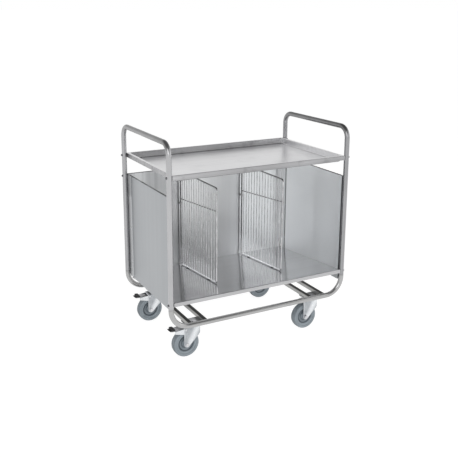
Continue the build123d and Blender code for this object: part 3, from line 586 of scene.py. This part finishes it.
# Side panels: flat stainless sheet hung between the posts, the front edge and the top edge folded outwards
# so that no raw edge faces in. They are riveted to the front posts and to the back panel's returns.
PANEL_BEND = 0.0025
PANEL_FOLD = 0.012
FOLD_BEND = 0.0021
FOLD_LAP = 0.0001
PANEL_MIDDLE_X = (0.4655, 0.4659)
OUTSIDE_DULL = 0.38
SHELF_LINE_Z = (0.2775, 0.2805)
# Painted shade on the side panels: under the lower shelf, along the rear corner and on the top fold.
UNDERSHELF_SHADE = 0.36
REAR_CORNER_SHADE_Y = (0.2310, 0.2345)
REAR_CORNER_SHADE = 0.6
TOP_FOLD_SHADE_Y = (-0.15, 0.1)
TOP_FOLD_SHADE_REAR_SHARE = 0.25
TOP_FOLD_SHADE_SIDE_X = (-0.1, 0.1)


def panel_skin_and_painted_shade(tree, spot):
    """Whether a point is past the middle of the sheet's thickness from the trolley's centre: the outer
    face keeps the mill's dull skin, the inner face is the polished side, painted near white as the light
    inside the trolley, above the lower shelf's slope and darker below it, as painted shade under the
    shelf. The top fold holds painted shade, thinner at the left panel's rear, and the rear edge, where
    the sheet meets the back panel, a dark line of painted shade in the corner."""
    place = axes_of(tree, spot)
    outer = spread(tree, unsigned(tree, place["X"]), *PANEL_MIDDLE_X, 0.0, OUTSIDE_DULL)
    slope = combine(tree, place["Z"], combine(tree, place["Y"], math.tan(SHELF_FALL), "MULTIPLY"))
    below = spread(tree, slope, *SHELF_LINE_Z, UNDERSHELF_SHADE, 0.0)
    skin = combine(tree, outer, below, "MAXIMUM")
    rear = spread(tree, place["Y"], *TOP_FOLD_SHADE_Y, 1.0, TOP_FOLD_SHADE_REAR_SHARE)
    right = spread(tree, place["X"], *TOP_FOLD_SHADE_SIDE_X, 0.0, 1.0)
    painted_shading = combine(tree, painted_top_shade(tree, spot), combine(tree, rear, right, "MAXIMUM"), "MULTIPLY")
    return combine(tree, combine(tree, skin, painted_shading), spread(tree, place["Y"], *REAR_CORNER_SHADE_Y, 0.0, REAR_CORNER_SHADE))


# The inner face's near-white tone is painted light inside the trolley.
side_finish = satin_steel(
    "brushed_side_sheet", dark=(0.95, 0.97, 0.98), pale=(0.97, 0.99, 1.0), rough=0.30,
    grain=(40, 40, 0.6), clouds=2.5, wear_and_shade=panel_skin_and_painted_shade,
    worn_and_shaded=((0.0, (0.14, 0.14, 0.145)), (0.02, (0.39, 0.405, 0.42)), (0.25, (0.45, 0.465, 0.48))),
    comb=("Z", 0.90, 0.25),
)
for name, side in (("left", -1), ("right", 1)):
    low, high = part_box(f"{name}_panel")
    inner = side * min(abs(low.x), abs(high.x))
    flange = side * max(abs(low.x), abs(high.x))
    shoulder = high.z - PANEL_BEND
    flat_line = [(flange, low.y), (inner, low.y), (inner, high.y)]
    flat = run_section(sheet_loop(flat_line, (PANEL_BEND,), -side * SHEET), low.z, shoulder, "XYZ")
    fold_line = [(inner, shoulder - FOLD_LAP), (inner, high.z), (inner + side * PANEL_FOLD, high.z)]
    fold = run_section(sheet_loop(fold_line, (FOLD_BEND,), -side * SHEET), low.y, high.y, "XZY")
    panel = make_piece(
        f"{name}_side_sheet", *join_shells([flat, fold]), side_finish, "frame", "side_panel_steel"
    )
    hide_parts(f"{name}_panel")

# Back panel: one stainless sheet folded forward at both ends to lap the side panels, its top edge doubled
# over, its lower edge let down behind the shelf's skirt. It is bolted to the rear posts.
BACK_RETURN = 0.060
RETURN_BOTTOM = 0.277
TONGUE_BOTTOM = 0.252
TONGUE_REAR = 0.2651
HEM_DROP = 0.012
HEM_POINTS = 9
CORNER_CUT = 0.004
CORNER_BOTTOM = 0.2575
SKIN_FROM = 0.8 * SHEET
SKIN_TO = 0.2 * SHEET
BACK_DULL = 0.36
RETURN_DULL = 0.20
# Painted light low on the inside's left end, painted shade above it, and a painted dark line on the hem's
# crest.
INSIDE_PAINTED_LIGHT = -0.12
LEFT_PAINTED_SHADE = 0.26
LEFT_SHADE_Z = (0.55, 0.70)
LEFT_SHADE_X = (-0.30, -0.15)
HEM_LINE_Z = (0.7920, 0.7935)
HEM_LINE_SHADE = 0.6

low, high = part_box("back_panel")
return_x = high.x
face_y = high.y - SHEET
hem_z = high.z - SHEET
return_y = face_y - BACK_RETURN
back_line = [(low.x, return_y), (low.x, face_y), (return_x, face_y), (return_x, return_y)]
back_loop = sheet_loop(back_line, (PANEL_BEND, PANEL_BEND), -SHEET)
shells = [run_section(back_loop, RETURN_BOTTOM, hem_z, "XYZ")]
over = np.linspace(math.pi, 0.0, HEM_POINTS)
hem_loop = np.vstack([
    np.column_stack([face_y + SHEET * np.cos(over), hem_z + SHEET * np.sin(over)]),
    [(face_y + SHEET, high.z - HEM_DROP), (face_y, high.z - HEM_DROP), (face_y, hem_z)],
])
hem_x = return_x - 2 * SHEET
shells.append(run_section(hem_loop, -hem_x, hem_x, "YZX"))
tongue_x = return_x - CORNER_CUT
shells.append(slab((-tongue_x, face_y - SHEET, low.z), (tongue_x, face_y, RETURN_BOTTOM)))
for side in (-1, 1):
    edge = sorted((side * return_x, side * (return_x - SHEET)))
    shells.append(slab((edge[0], return_y, TONGUE_BOTTOM), (edge[1], TONGUE_REAR, RETURN_BOTTOM)))
    ear = sorted((side * (tongue_x - SHEET), side * (return_x - SKIN_TO)))
    shells.append(slab((ear[0], face_y - SHEET, CORNER_BOTTOM), (ear[1], face_y, RETURN_BOTTOM)))


def blasted_returns(tree, spot):
    """Distance from the middle, as the outer skin of the returns from the middle of the sheet's thickness
    on."""
    out = unsigned(tree, axes_of(tree, spot)["X"])
    return spread(tree, out, return_x - SKIN_FROM, return_x - SKIN_TO, 0.0, 1.0)


def back_skin_and_painted_shade(tree, spot):
    """Height over the doubled edge's crest, as a dark line painted along its bend as a dark reflection,
    added to the largest of the dull skin of the rear face, that of the returns, and painted shade on the
    left end of the inside, heavy at the top and turned to painted light below."""
    place = axes_of(tree, spot)
    rear = spread(tree, place["Y"], face_y - SKIN_FROM, face_y - SKIN_TO, INSIDE_PAINTED_LIGHT, BACK_DULL)
    end = spread(tree, blasted_returns(tree, spot), 0.0, 1.0, INSIDE_PAINTED_LIGHT, RETURN_DULL)
    painted_shading = spread(tree, place["Z"], *LEFT_SHADE_Z, INSIDE_PAINTED_LIGHT, LEFT_PAINTED_SHADE)
    painted_shading = combine(tree, painted_shading, spread(tree, place["X"], *LEFT_SHADE_X, 1.0, 0.0), "MULTIPLY")
    skin = combine(tree, combine(tree, rear, end, "MAXIMUM"), painted_shading, "MAXIMUM")
    return combine(tree, spread(tree, place["Z"], *HEM_LINE_Z, 0.0, HEM_LINE_SHADE), skin)


back_finish = satin_steel(
    "brushed_back_sheet", dark=(0.66, 0.67, 0.68), pale=(0.80, 0.81, 0.82), rough=0.30,
    grain=(40, 40, 0.6), clouds=2.5, wear_and_shade=back_skin_and_painted_shade,
    worn_and_shaded=(
        (0.0, (0.12, 0.12, 0.125)), (0.01, (0.37, 0.38, 0.39)),
        (0.2, (0.43, 0.44, 0.45)), (0.27, (0.62, 0.63, 0.64)),
    ),
    comb=("Z", 0.60, 0.25), matt=blasted_returns,
)
back = make_piece("back_sheet", *join_shells(shells), back_finish, "frame", "back_panel_steel")
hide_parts("back_panel")

# Fasteners: dome-head bolts through the posts with nuts inside the hems, blind rivets along the panels,
# and hex bolts and nuts that hold the castor plates to the cross bars, all stainless. The domes are
# polished and the rest is left as turned.
fastener_finish = satin_steel(
    "turned_fastener_steel", dark=(0.30, 0.30, 0.31), pale=(0.52, 0.52, 0.53), rough=0.25,
    grain=(300, 300, 300), clouds=80.0,
)
# The dome bolts are painted near black, as a dark reflection in their polish.
bolt_painted_dark_finish = satin_steel(
    "polished_bolt_steel_painted_dark", dark=(0.07, 0.07, 0.075), pale=(0.17, 0.17, 0.18), rough=0.15,
    grain=(300, 300, 300), clouds=80.0,
)
for node in ("shelf_nuts", "panel_rivets", "castor_bolts", "castor_nuts"):
    dress(node, fastener_finish)
dress("shelf_bolts", bolt_painted_dark_finish)

# Dividers: a loop of drawn rod filled with upright wires, resistance-welded at every crossing, with two pegs
# that drop through rubber grommets in the shelf and a moulded buffer against the back panel.
# Painted shade on the rods' tops, the wires and the rear upright, and painted light on the foot rod.
ROD_TOP_SHADE_TILT = (0.05, 0.6)
ROD_TOP_SHADE = 0.42
HIGH_ROD_Z = (0.40, 0.55)
FOOT_ROD_Z = (0.345, 0.385)
FOOT_ROD_PAINTED_LIGHT = -0.16
WIRE_SHADE = 0.09
REAR_ROD_Y = (0.245, 0.258)
REAR_ROD_SHADE = 0.3
MOULD_CLOUDS = 30.0
MOULD_DETAIL = 3.0
MOULD_PALE_STOP = 0.6
PEBBLE_BAND = (0.3, 0.7)
PEBBLE_SMOOTH = -0.06
PEBBLE_ROUGH = 0.08
PEBBLE_DEPTH = 0.0005


def shaded_wire(tree, spot):
    """Painted shade on the upward faces of the higher rods, the wires darker than the foot rod and its
    ends, which are painted lighter, and painted shade on the rear upright, all added up."""
    place = axes_of(tree, spot)
    high_rod = spread(tree, place["Z"], *HIGH_ROD_Z, 0.0, 1.0)
    painted_shading = spread(tree, facing(tree, "Z"), *ROD_TOP_SHADE_TILT, 0.0, ROD_TOP_SHADE)
    painted_shading = combine(tree, painted_shading, high_rod, "MULTIPLY")
    painted_shading = combine(tree, painted_shading, spread(tree, place["Z"], *FOOT_ROD_Z, FOOT_ROD_PAINTED_LIGHT, WIRE_SHADE))
    return combine(tree, painted_shading, spread(tree, place["Y"], *REAR_ROD_Y, 0.0, REAR_ROD_SHADE))


def moulded(name, dark, pale, rough, grain, relief, rings=None):
    """Moulded rubber or plastic: slow clouds and a fine pebble noise are added up and move the colour
    between two tones, and the pebbles give the bump and lift the roughness on their high spots. rings, if
    given, returns what is taken off the sum."""
    stuff = bpy.data.materials.new(name)
    stuff.use_nodes = True
    tree = stuff.node_tree
    skin = tree.nodes["Principled BSDF"]
    spot = add_node(tree, "TexCoord", {}).outputs["Object"]
    slow = noise(tree, spot, MOULD_CLOUDS, MOULD_DETAIL)
    pebble = noise(tree, spot, grain, MOULD_DETAIL)
    tone = spread(tree, combine(tree, slow, pebble), 0.0, 2.0, *TONE_SPREAD)
    if rings:
        tone = combine(tree, tone, rings(tree, spot), "SUBTRACT")
    stops = ((0.0, dark), (MOULD_PALE_STOP, pale))
    tree.links.new(tone_ramp(tree, tone, stops), skin.inputs["Base Color"])
    blur = spread(tree, pebble, *PEBBLE_BAND, rough + PEBBLE_SMOOTH, rough + PEBBLE_ROUGH)
    tree.links.new(blur, skin.inputs["Roughness"])
    bump = add_node(tree, "Bump", {"Height": pebble, "Strength": relief, "Distance": PEBBLE_DEPTH})
    tree.links.new(bump.outputs["Normal"], skin.inputs["Normal"])
    return stuff


wire_finish = satin_steel(
    "drawn_wire_steel", dark=(0.40, 0.40, 0.41), pale=(0.95, 0.95, 0.96), rough=0.20,
    grain=(300, 300, 20), clouds=30.0, wear_and_shade=shaded_wire,
    worn_and_shaded=((0.0, (0.05, 0.05, 0.052)), (0.2, (0.30, 0.30, 0.305))),
)
buffer_finish = moulded(
    "grey_buffer_plastic", dark=(0.38, 0.38, 0.385), pale=(0.50, 0.50, 0.51), rough=0.45,
    grain=900.0, relief=0.2,
)
grommet_finish = moulded(
    "black_grommet_rubber", dark=(0.018, 0.018, 0.019), pale=(0.035, 0.035, 0.036), rough=0.6,
    grain=1200.0, relief=0.3,
)
for side in ("left", "right"):
    dress(f"{side}_divider", wire_finish)
    dress(f"{side}_divider_buffer", buffer_finish)
dress("peg_grommets", grommet_finish)

# Castor tops: a pressed plate with its ball race, a king pin and a folded hood fork, all zinc plated. The
# plate is bolted up under the two cross bars and the fork turns about the king pin.
CASTOR_X = 0.338
FORK_TRAIL = 0.048
AXLE_Z = 0.066
CROWN_Z = 0.150
# A painted highlight on the fork's side, with painted shade away from it.
HIGHLIGHT_AHEAD = (-0.034, 0.012)
HIGHLIGHT_FADE = (0.004, 0.026)
HOOD_SHADE = 0.38
EAR_AHEAD = (-0.068, -0.056)
EAR_SHARE = 0.1


def from_castor(tree, spot):
    """Distance ahead of the castor's own swivel axis: the castors stand at equal distances left and
    right, so the X of both sides folds on to one."""
    x = combine(tree, axes_of(tree, spot)["X"], CASTOR_X)
    return add_node(tree, "Math", {0: x, 1: CASTOR_X, 2: -CASTOR_X}, operation="WRAP").outputs["Value"]


def painted_fork_highlight(tree, spot):
    """Distance from the line that runs from the axle up to the crown, as a painted highlight along it and
    painted shade away from it, the shade faded out again on the ears beside the brake."""
    line = spread(tree, axes_of(tree, spot)["Z"], AXLE_Z, CROWN_Z, *HIGHLIGHT_AHEAD)
    ahead = from_castor(tree, spot)
    off = unsigned(tree, combine(tree, ahead, line, "SUBTRACT"))
    ear = spread(tree, ahead, *EAR_AHEAD, EAR_SHARE, 1.0)
    return combine(tree, spread(tree, off, *HIGHLIGHT_FADE, 0.0, HOOD_SHADE), ear, "MULTIPLY")


plate_finish = satin_steel(
    "zinc_castor_plate", dark=(0.34, 0.345, 0.35), pale=(0.58, 0.59, 0.60), rough=0.28,
    grain=(120, 120, 120), clouds=40.0,
)
fork_finish = satin_steel(
    "zinc_fork_pressing", dark=(0.62, 0.64, 0.66), pale=(0.86, 0.88, 0.90), rough=0.26,
    grain=(160, 160, 160), clouds=30.0, wear_and_shade=painted_fork_highlight, worn_and_shaded=((0.0, (0.28, 0.30, 0.32)),),
)
pin_finish = satin_steel(
    "bright_pin_steel", dark=(0.45, 0.45, 0.46), pale=(0.70, 0.70, 0.72), rough=0.24,
    grain=(200, 200, 200), clouds=60.0,
)
castors = ("front_left", "rear_left", "front_right", "rear_right")
for castor in castors:
    dress(f"{castor}_castor_plate", plate_finish)
    dress(f"{castor}_king_pin", pin_finish)
    dress(f"{castor}_fork", fork_finish)
    dress(f"{castor}_axle", pin_finish)

# Wheels: a grey rubber tyre moulded on to a polyamide centre with a dished web, running on a plain bush.
# The sidewalls carry a moulded step and the tread a fine parting ridge.
WHEEL_STEPS = 96
WHEEL_CREASE = 60.0
BEND_STEPS = 5
BEND_EDGE = 0.0001
TYRE_LINE = (
    (0.0, 0.049), (0.0172, 0.049), (0.018, 0.0502), (0.018, 0.0532), (0.017, 0.0546), (0.0176, 0.061),
    (0.0154, 0.0646), (0.008, 0.0657), (0.0009, 0.06585), (0.0, 0.066),
)
TYRE_BENDS = (0.0004, 0.0006, 0.0008, 0.0008, 0.0024, 0.0024, 0.006, 0.0005)
HUB_LINE = (
    (0.0, 0.008), (0.0211, 0.008), (0.0211, 0.014), (0.0195, 0.015), (0.009, 0.0156), (0.007, 0.020),
    (0.0075, 0.030), (0.0105, 0.037), (0.0115, 0.0405), (0.0162, 0.0432), (0.017, 0.045), (0.017, 0.049),
    (0.0, 0.049),
)
HUB_BENDS = (0.0003, 0.0008, 0.0006, 0.0025, 0.0025, 0.004, 0.0025, 0.002, 0.001, 0.0006, 0.0003)
RING_REACH = 0.070
# Rings of painted shade at the wheel's steps and on the tyre's shoulder.
TYRE_SHADE_RINGS = ((0.70, 0.28), (0.725, 0.10), (0.75, 0.04), (0.88, 0.04), (0.915, 0.22))
HUB_SHADE_RINGS = (
    (0.22, 0.10), (0.30, 0.42), (0.40, 0.20), (0.46, 0.20), (0.50, 0.46), (0.56, 0.46), (0.60, 0.05),
    (0.70, 0.08),
)


def turned(half_line, bends, centre):
    """A wheel part turned about the axle: the half outline, given as width and radius, is mirrored to the
    far side and each point of the whole outline goes round in a circle."""
    line, _ = bent_line(half_line, bends, BEND_STEPS, BEND_EDGE)
    outline = np.vstack([line, (line * [-1.0, 1.0])[-2:0:-1]])
    angle = np.linspace(0.0, 2 * math.pi, WHEEL_STEPS, endpoint=False)
    wide, far = outline[:, :1], outline[:, 1:]
    x = centre[0] + far * np.cos(angle)
    y = centre[1] + wide + np.zeros_like(angle)
    z = centre[2] + far * np.sin(angle)
    return np.stack([x, y, z], axis=-1), weave_ring(len(outline), WHEEL_STEPS)


def painted_ring_shade(stops):
    """Painted shade by radius: distance from the axle over the rings' reach places a point between the
    stops of a grey ramp, where a higher value is darker; the dark rings fall at the wheel's steps and on
    the tyre's shoulder."""

    def rings(tree, spot):
        """The value at this point's radius, which is the root of the sum of the two squared distances."""
        ahead = combine(tree, from_castor(tree, spot), FORK_TRAIL)
        over = combine(tree, axes_of(tree, spot)["Z"], AXLE_Z, "SUBTRACT")
        squares = [combine(tree, leg, leg, "MULTIPLY") for leg in (ahead, over)]
        radius = combine(tree, combine(tree, *squares), 0.5, "POWER")
        share = combine(tree, radius, RING_REACH, "DIVIDE")
        return tone_ramp(tree, share, [(place, (grey,) * 3) for place, grey in stops])

    return rings


tyre_finish = moulded(
    "blue_grey_tyre_rubber", dark=(0.055, 0.07, 0.086), pale=(0.46, 0.52, 0.565), rough=0.55,
    grain=500.0, relief=0.25, rings=painted_ring_shade(TYRE_SHADE_RINGS),
)
hub_finish = moulded(
    "grey_hub_plastic", dark=(0.055, 0.072, 0.09), pale=(0.54, 0.61, 0.66), rough=0.4,
    grain=700.0, relief=0.15, rings=painted_ring_shade(HUB_SHADE_RINGS),
)
bush_finish = moulded(
    "pale_bush_plastic", dark=(0.42, 0.42, 0.40), pale=(0.55, 0.55, 0.52), rough=0.4,
    grain=700.0, relief=0.15,
)
for castor in castors:
    low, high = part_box(f"{castor}_tyre")
    centre = (low + high) / 2
    tyre_shape = turned(TYRE_LINE, TYRE_BENDS, centre)
    tyre = make_piece(
        f"{castor}_tyre_ring", *tyre_shape, tyre_finish, f"{castor}_wheel", "tyre_rubber", WHEEL_CREASE
    )
    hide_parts(f"{castor}_tyre")
    hub_shape = turned(HUB_LINE, HUB_BENDS, centre)
    hub = make_piece(
        f"{castor}_wheel_centre", *hub_shape, hub_finish, f"{castor}_wheel", "hub_plastic", WHEEL_CREASE
    )
    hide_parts(f"{castor}_wheel_hub")
    dress(f"{castor}_wheel_bush", bush_finish)

# Brakes: on the two castors at the left end, a pressed lever turns on a pin across the fork and presses a
# shoe on the tyre. A ribbed black tread is pegged to the lever's end for the foot.
TREAD_FROM = 0.052
TREAD_TO = 0.071
TREAD_MIDDLE = (TREAD_FROM + TREAD_TO) / 2
TREAD_HALF_LENGTH = (TREAD_TO - TREAD_FROM) / 2
TREAD_HALF_WIDTH = 0.0215
TREAD_THICK = 0.008
TREAD_CORNER = 0.006
TREAD_EDGE = 0.002
TREAD_ROWS = 84
TREAD_COLUMNS = 40
TREAD_CREASE = 50.0
RIB_PITCH = 0.0047
RIB_DEPTH = 0.0012
RIB_SHARPNESS = 3
RIB_INSET = 0.002
RIB_FADE = 0.0015
ARM_HALF_THICK = 0.0015
ARM_RISE = math.radians(2.0)
PEG_R = 0.004
PEG_HEAD_R = 0.0055
PEG_HEAD_DROP = 0.002
PEG_POINTS = 24
LEVER_DIP = 0.127
DIP_EDGE = 0.0005
DIP_DARK = 0.6


def dipped(tree, spot):
    """Distance out along the lever: its turned-up end is dipped in black up to the tread's far edge."""
    return spread(tree, from_castor(tree, spot), -LEVER_DIP - DIP_EDGE, -LEVER_DIP + DIP_EDGE, DIP_DARK, 0.0)


def ribbed_pad():
    """The tread along the lever, across it and up from it: a grid whose width narrows at the ends by the
    corner circle, its top rounded off at the rim by a quarter circle and cut by cosine grooves across it,
    closed by a wall and a flat underside."""
    along = np.linspace(TREAD_FROM, TREAD_TO, TREAD_ROWS)
    across = np.linspace(-1.0, 1.0, TREAD_COLUMNS)
    into = np.clip(np.abs(along - TREAD_MIDDLE) - (TREAD_HALF_LENGTH - TREAD_CORNER), 0.0, TREAD_CORNER)
    width = TREAD_HALF_WIDTH - TREAD_CORNER + np.sqrt(TREAD_CORNER**2 - into**2)
    u = np.repeat(along[:, None], TREAD_COLUMNS, axis=1)
    v = width[:, None] * across[None, :]
    from_end = TREAD_HALF_LENGTH - np.abs(u - TREAD_MIDDLE)
    from_side = width[:, None] * (1.0 - np.abs(across))[None, :]
    rim = np.minimum(from_end, from_side)
    short = np.clip(TREAD_EDGE - rim, 0.0, TREAD_EDGE)
    top = TREAD_THICK - TREAD_EDGE + np.sqrt(TREAD_EDGE**2 - short**2)
    groove = 0.5 - 0.5 * np.cos(2 * math.pi * (u - TREAD_MIDDLE) / RIB_PITCH)
    top = top - RIB_DEPTH * groove**RIB_SHARPNESS * np.clip((rim - RIB_INSET) / RIB_FADE, 0.0, 1.0)
    heights = (top + ARM_HALF_THICK, np.full_like(top, ARM_HALF_THICK))
    points = np.vstack([np.stack([u, v, height], axis=-1).reshape(-1, 3) for height in heights])
    cell = np.arange(u.size).reshape(u.shape)
    quads = np.stack([cell[:-1, :-1], cell[1:, :-1], cell[1:, 1:], cell[:-1, 1:]], axis=-1).reshape(-1, 4)
    border = np.concatenate([cell[0, :-1], cell[:-1, -1], cell[-1, :0:-1], cell[:0:-1, 0]])
    under = border + u.size
    wall = np.stack([border, np.roll(border, -1), np.roll(under, -1), under], axis=-1)
    return points, quads.tolist() + (quads + u.size).tolist() + wall.tolist()


def headed_peg():
    """The peg under the tread: circles about its own middle, from the lever's top through it to a wider
    head."""
    line = (
        (PEG_R, ARM_HALF_THICK), (PEG_R, -ARM_HALF_THICK), (PEG_HEAD_R, -ARM_HALF_THICK),
        (PEG_HEAD_R, -ARM_HALF_THICK - PEG_HEAD_DROP),
    )
    turn = np.linspace(0.0, 2 * math.pi, PEG_POINTS, endpoint=False)
    around = np.column_stack([np.cos(turn), np.sin(turn)])
    rings = [
        np.column_stack([radius * around + [TREAD_MIDDLE, 0.0], np.full(PEG_POINTS, height)])
        for radius, height in line
    ]
    last = (len(line) - 1) * PEG_POINTS
    ends = [list(range(PEG_POINTS)), list(range(last, last + PEG_POINTS))]
    return np.vstack(rings), weave(len(line), PEG_POINTS) + ends


lever_finish = satin_steel(
    "zinc_brake_lever", dark=(0.40, 0.40, 0.41), pale=(0.66, 0.66, 0.68), rough=0.27,
    grain=(160, 160, 160), clouds=40.0, wear_and_shade=dipped,
    worn_and_shaded=((0.0, (0.02, 0.02, 0.021)), (0.1, (0.02, 0.02, 0.021))),
)
tread_finish = moulded(
    "black_tread_rubber", dark=(0.012, 0.012, 0.013), pale=(0.028, 0.028, 0.030), rough=0.5,
    grain=900.0, relief=0.3,
)
points, faces = join_shells([ribbed_pad(), headed_peg()])
out = np.array([-math.cos(ARM_RISE), 0.0, math.sin(ARM_RISE)])
up = np.array([math.sin(ARM_RISE), 0.0, math.cos(ARM_RISE)])
from_pivot = points[:, :1] * out + points[:, 1:2] * [0.0, 1.0, 0.0] + points[:, 2:] * up
for castor in castors[:2]:
    low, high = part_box(f"{castor}_brake_pin")
    tread_points = np.array((low + high) / 2) + from_pivot
    tread = make_piece(
        f"{castor}_ribbed_tread", tread_points, faces, tread_finish,
        f"{castor}_brake", "brake_tread_plastic", TREAD_CREASE,
    )
    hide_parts(f"{castor}_brake_tread")
    dress(f"{castor}_brake_lever", lever_finish)
    dress(f"{castor}_brake_pin", pin_finish)

# Studio: a wide pale floor that the castors stand on. Seen directly or in the metal it is the white ground,
# a little darker where the trolley keeps the light off it.
FLOOR_HALF = 400.0
FLOOR_SEEN = (0.30, 0.30, 0.30, 1.0)
FLOOR_GLOW = 0.89
FLOOR_PLAIN = (0.75, 0.75, 0.75, 1.0)

corners = [(x * FLOOR_HALF, y * FLOOR_HALF, 0.0) for x, y in ((-1, -1), (1, -1), (1, 1), (-1, 1))]
ground = bpy.data.meshes.new("studio_floor")
ground.from_pydata(corners, [], [(0, 1, 2, 3)])
floor_paint = bpy.data.materials.new("pale_floor_paint")
floor_paint.use_nodes = True
tree = floor_paint.node_tree
tree.nodes.clear()
rays = add_node(tree, "LightPath", {}).outputs
seen = combine(tree, rays["Is Camera Ray"], rays["Is Glossy Ray"], "MAXIMUM")
seen = combine(tree, seen, rays["Is Transmission Ray"], "MAXIMUM")
paint = add_node(tree, "BsdfDiffuse", {"Color": FLOOR_SEEN})
glow = add_node(tree, "Emission", {"Color": (1.0, 1.0, 1.0, 1.0), "Strength": FLOOR_GLOW})
lit = add_node(tree, "AddShader", {0: paint.outputs[0], 1: glow.outputs[0]})
plain = add_node(tree, "BsdfDiffuse", {"Color": FLOOR_PLAIN})
both = add_node(tree, "MixShader", {"Fac": seen, 1: plain.outputs[0], 2: lit.outputs[0]})
add_node(tree, "OutputMaterial", {"Surface": both.outputs[0]})
ground.materials.append(floor_paint)
studio_floor = bpy.data.objects.new("studio_floor", ground)
bpy.context.scene.collection.objects.link(studio_floor)

# Studio light: a room that is white all round at the height of the trolley and dimmer overhead, with a broad
# soft lamp from the front left and a weaker one from the right.
ROOM_RISE = (0.15, 0.75)
ROOM_DIM = 0.75
ROOM_STOPS = ((0.0, (1.0, 1.0, 1.0)), (0.95, (0.0, 0.0, 0.0)))
LAMP_SIZE = 2.4
LAMP_AIM = (0.0, 0.0, 0.55)
LAMPS = (
    ("front_left_softbox", (-2.2, -3.0, 2.6), 40.0),
    ("right_softbox", (2.8, -1.6, 2.2), 15.0),
)

world = bpy.data.worlds.new("studio_room")
bpy.context.scene.world = world
world.use_nodes = True
tree = world.node_tree
tree.nodes.clear()
upward = axes_of(tree, add_node(tree, "TexCoord", {}).outputs["Generated"])["Z"]
room = tone_ramp(tree, spread(tree, upward, *ROOM_RISE, 0.0, ROOM_DIM), ROOM_STOPS)
light = add_node(tree, "Background", {"Color": room, "Strength": 1.0})
add_node(tree, "OutputWorld", {"Surface": light.outputs[0]})
for name, place, power in LAMPS:
    lamp = bpy.data.lights.new(name, "AREA")
    lamp.size = LAMP_SIZE
    lamp.energy = power
    softbox = bpy.data.objects.new(name, lamp)
    softbox.location = place
    aim = np.array(LAMP_AIM) - np.array(place)
    tilt = math.acos(-aim[2] / np.linalg.norm(aim))
    softbox.rotation_euler = (tilt, 0.0, math.atan2(aim[1], aim[0]) - math.pi / 2)
    bpy.context.scene.collection.objects.link(softbox)

# Camera: a little above the handles at the trolley's front left, looking down at it. The lens is
# shifted so that its axis meets the picture at the principal point.
CAMERA_PLACE = (-1.6782, -3.0351, 1.6222)
CAMERA_AZIMUTH = math.radians(-27.33)
CAMERA_DOWN = math.radians(13.95)
SENSOR_WIDTH = 36.0
FOCAL_PIXELS = 707.3
FRAME_PIXELS = 458.0
PRINCIPAL_PIXELS = (215.0, 182.0)

lens = bpy.data.cameras.new("front_left_view")
lens.sensor_width = SENSOR_WIDTH
lens.lens = FOCAL_PIXELS / FRAME_PIXELS * SENSOR_WIDTH
lens.shift_x = 0.5 - PRINCIPAL_PIXELS[0] / FRAME_PIXELS
lens.shift_y = PRINCIPAL_PIXELS[1] / FRAME_PIXELS - 0.5
camera = bpy.data.objects.new("front_left_view", lens)
camera.location = CAMERA_PLACE
camera.rotation_euler = (math.pi / 2 - CAMERA_DOWN, 0.0, CAMERA_AZIMUTH)
bpy.context.scene.collection.objects.link(camera)
bpy.context.scene.camera = camera
bpy.context.scene.view_settings.view_transform = "Standard"
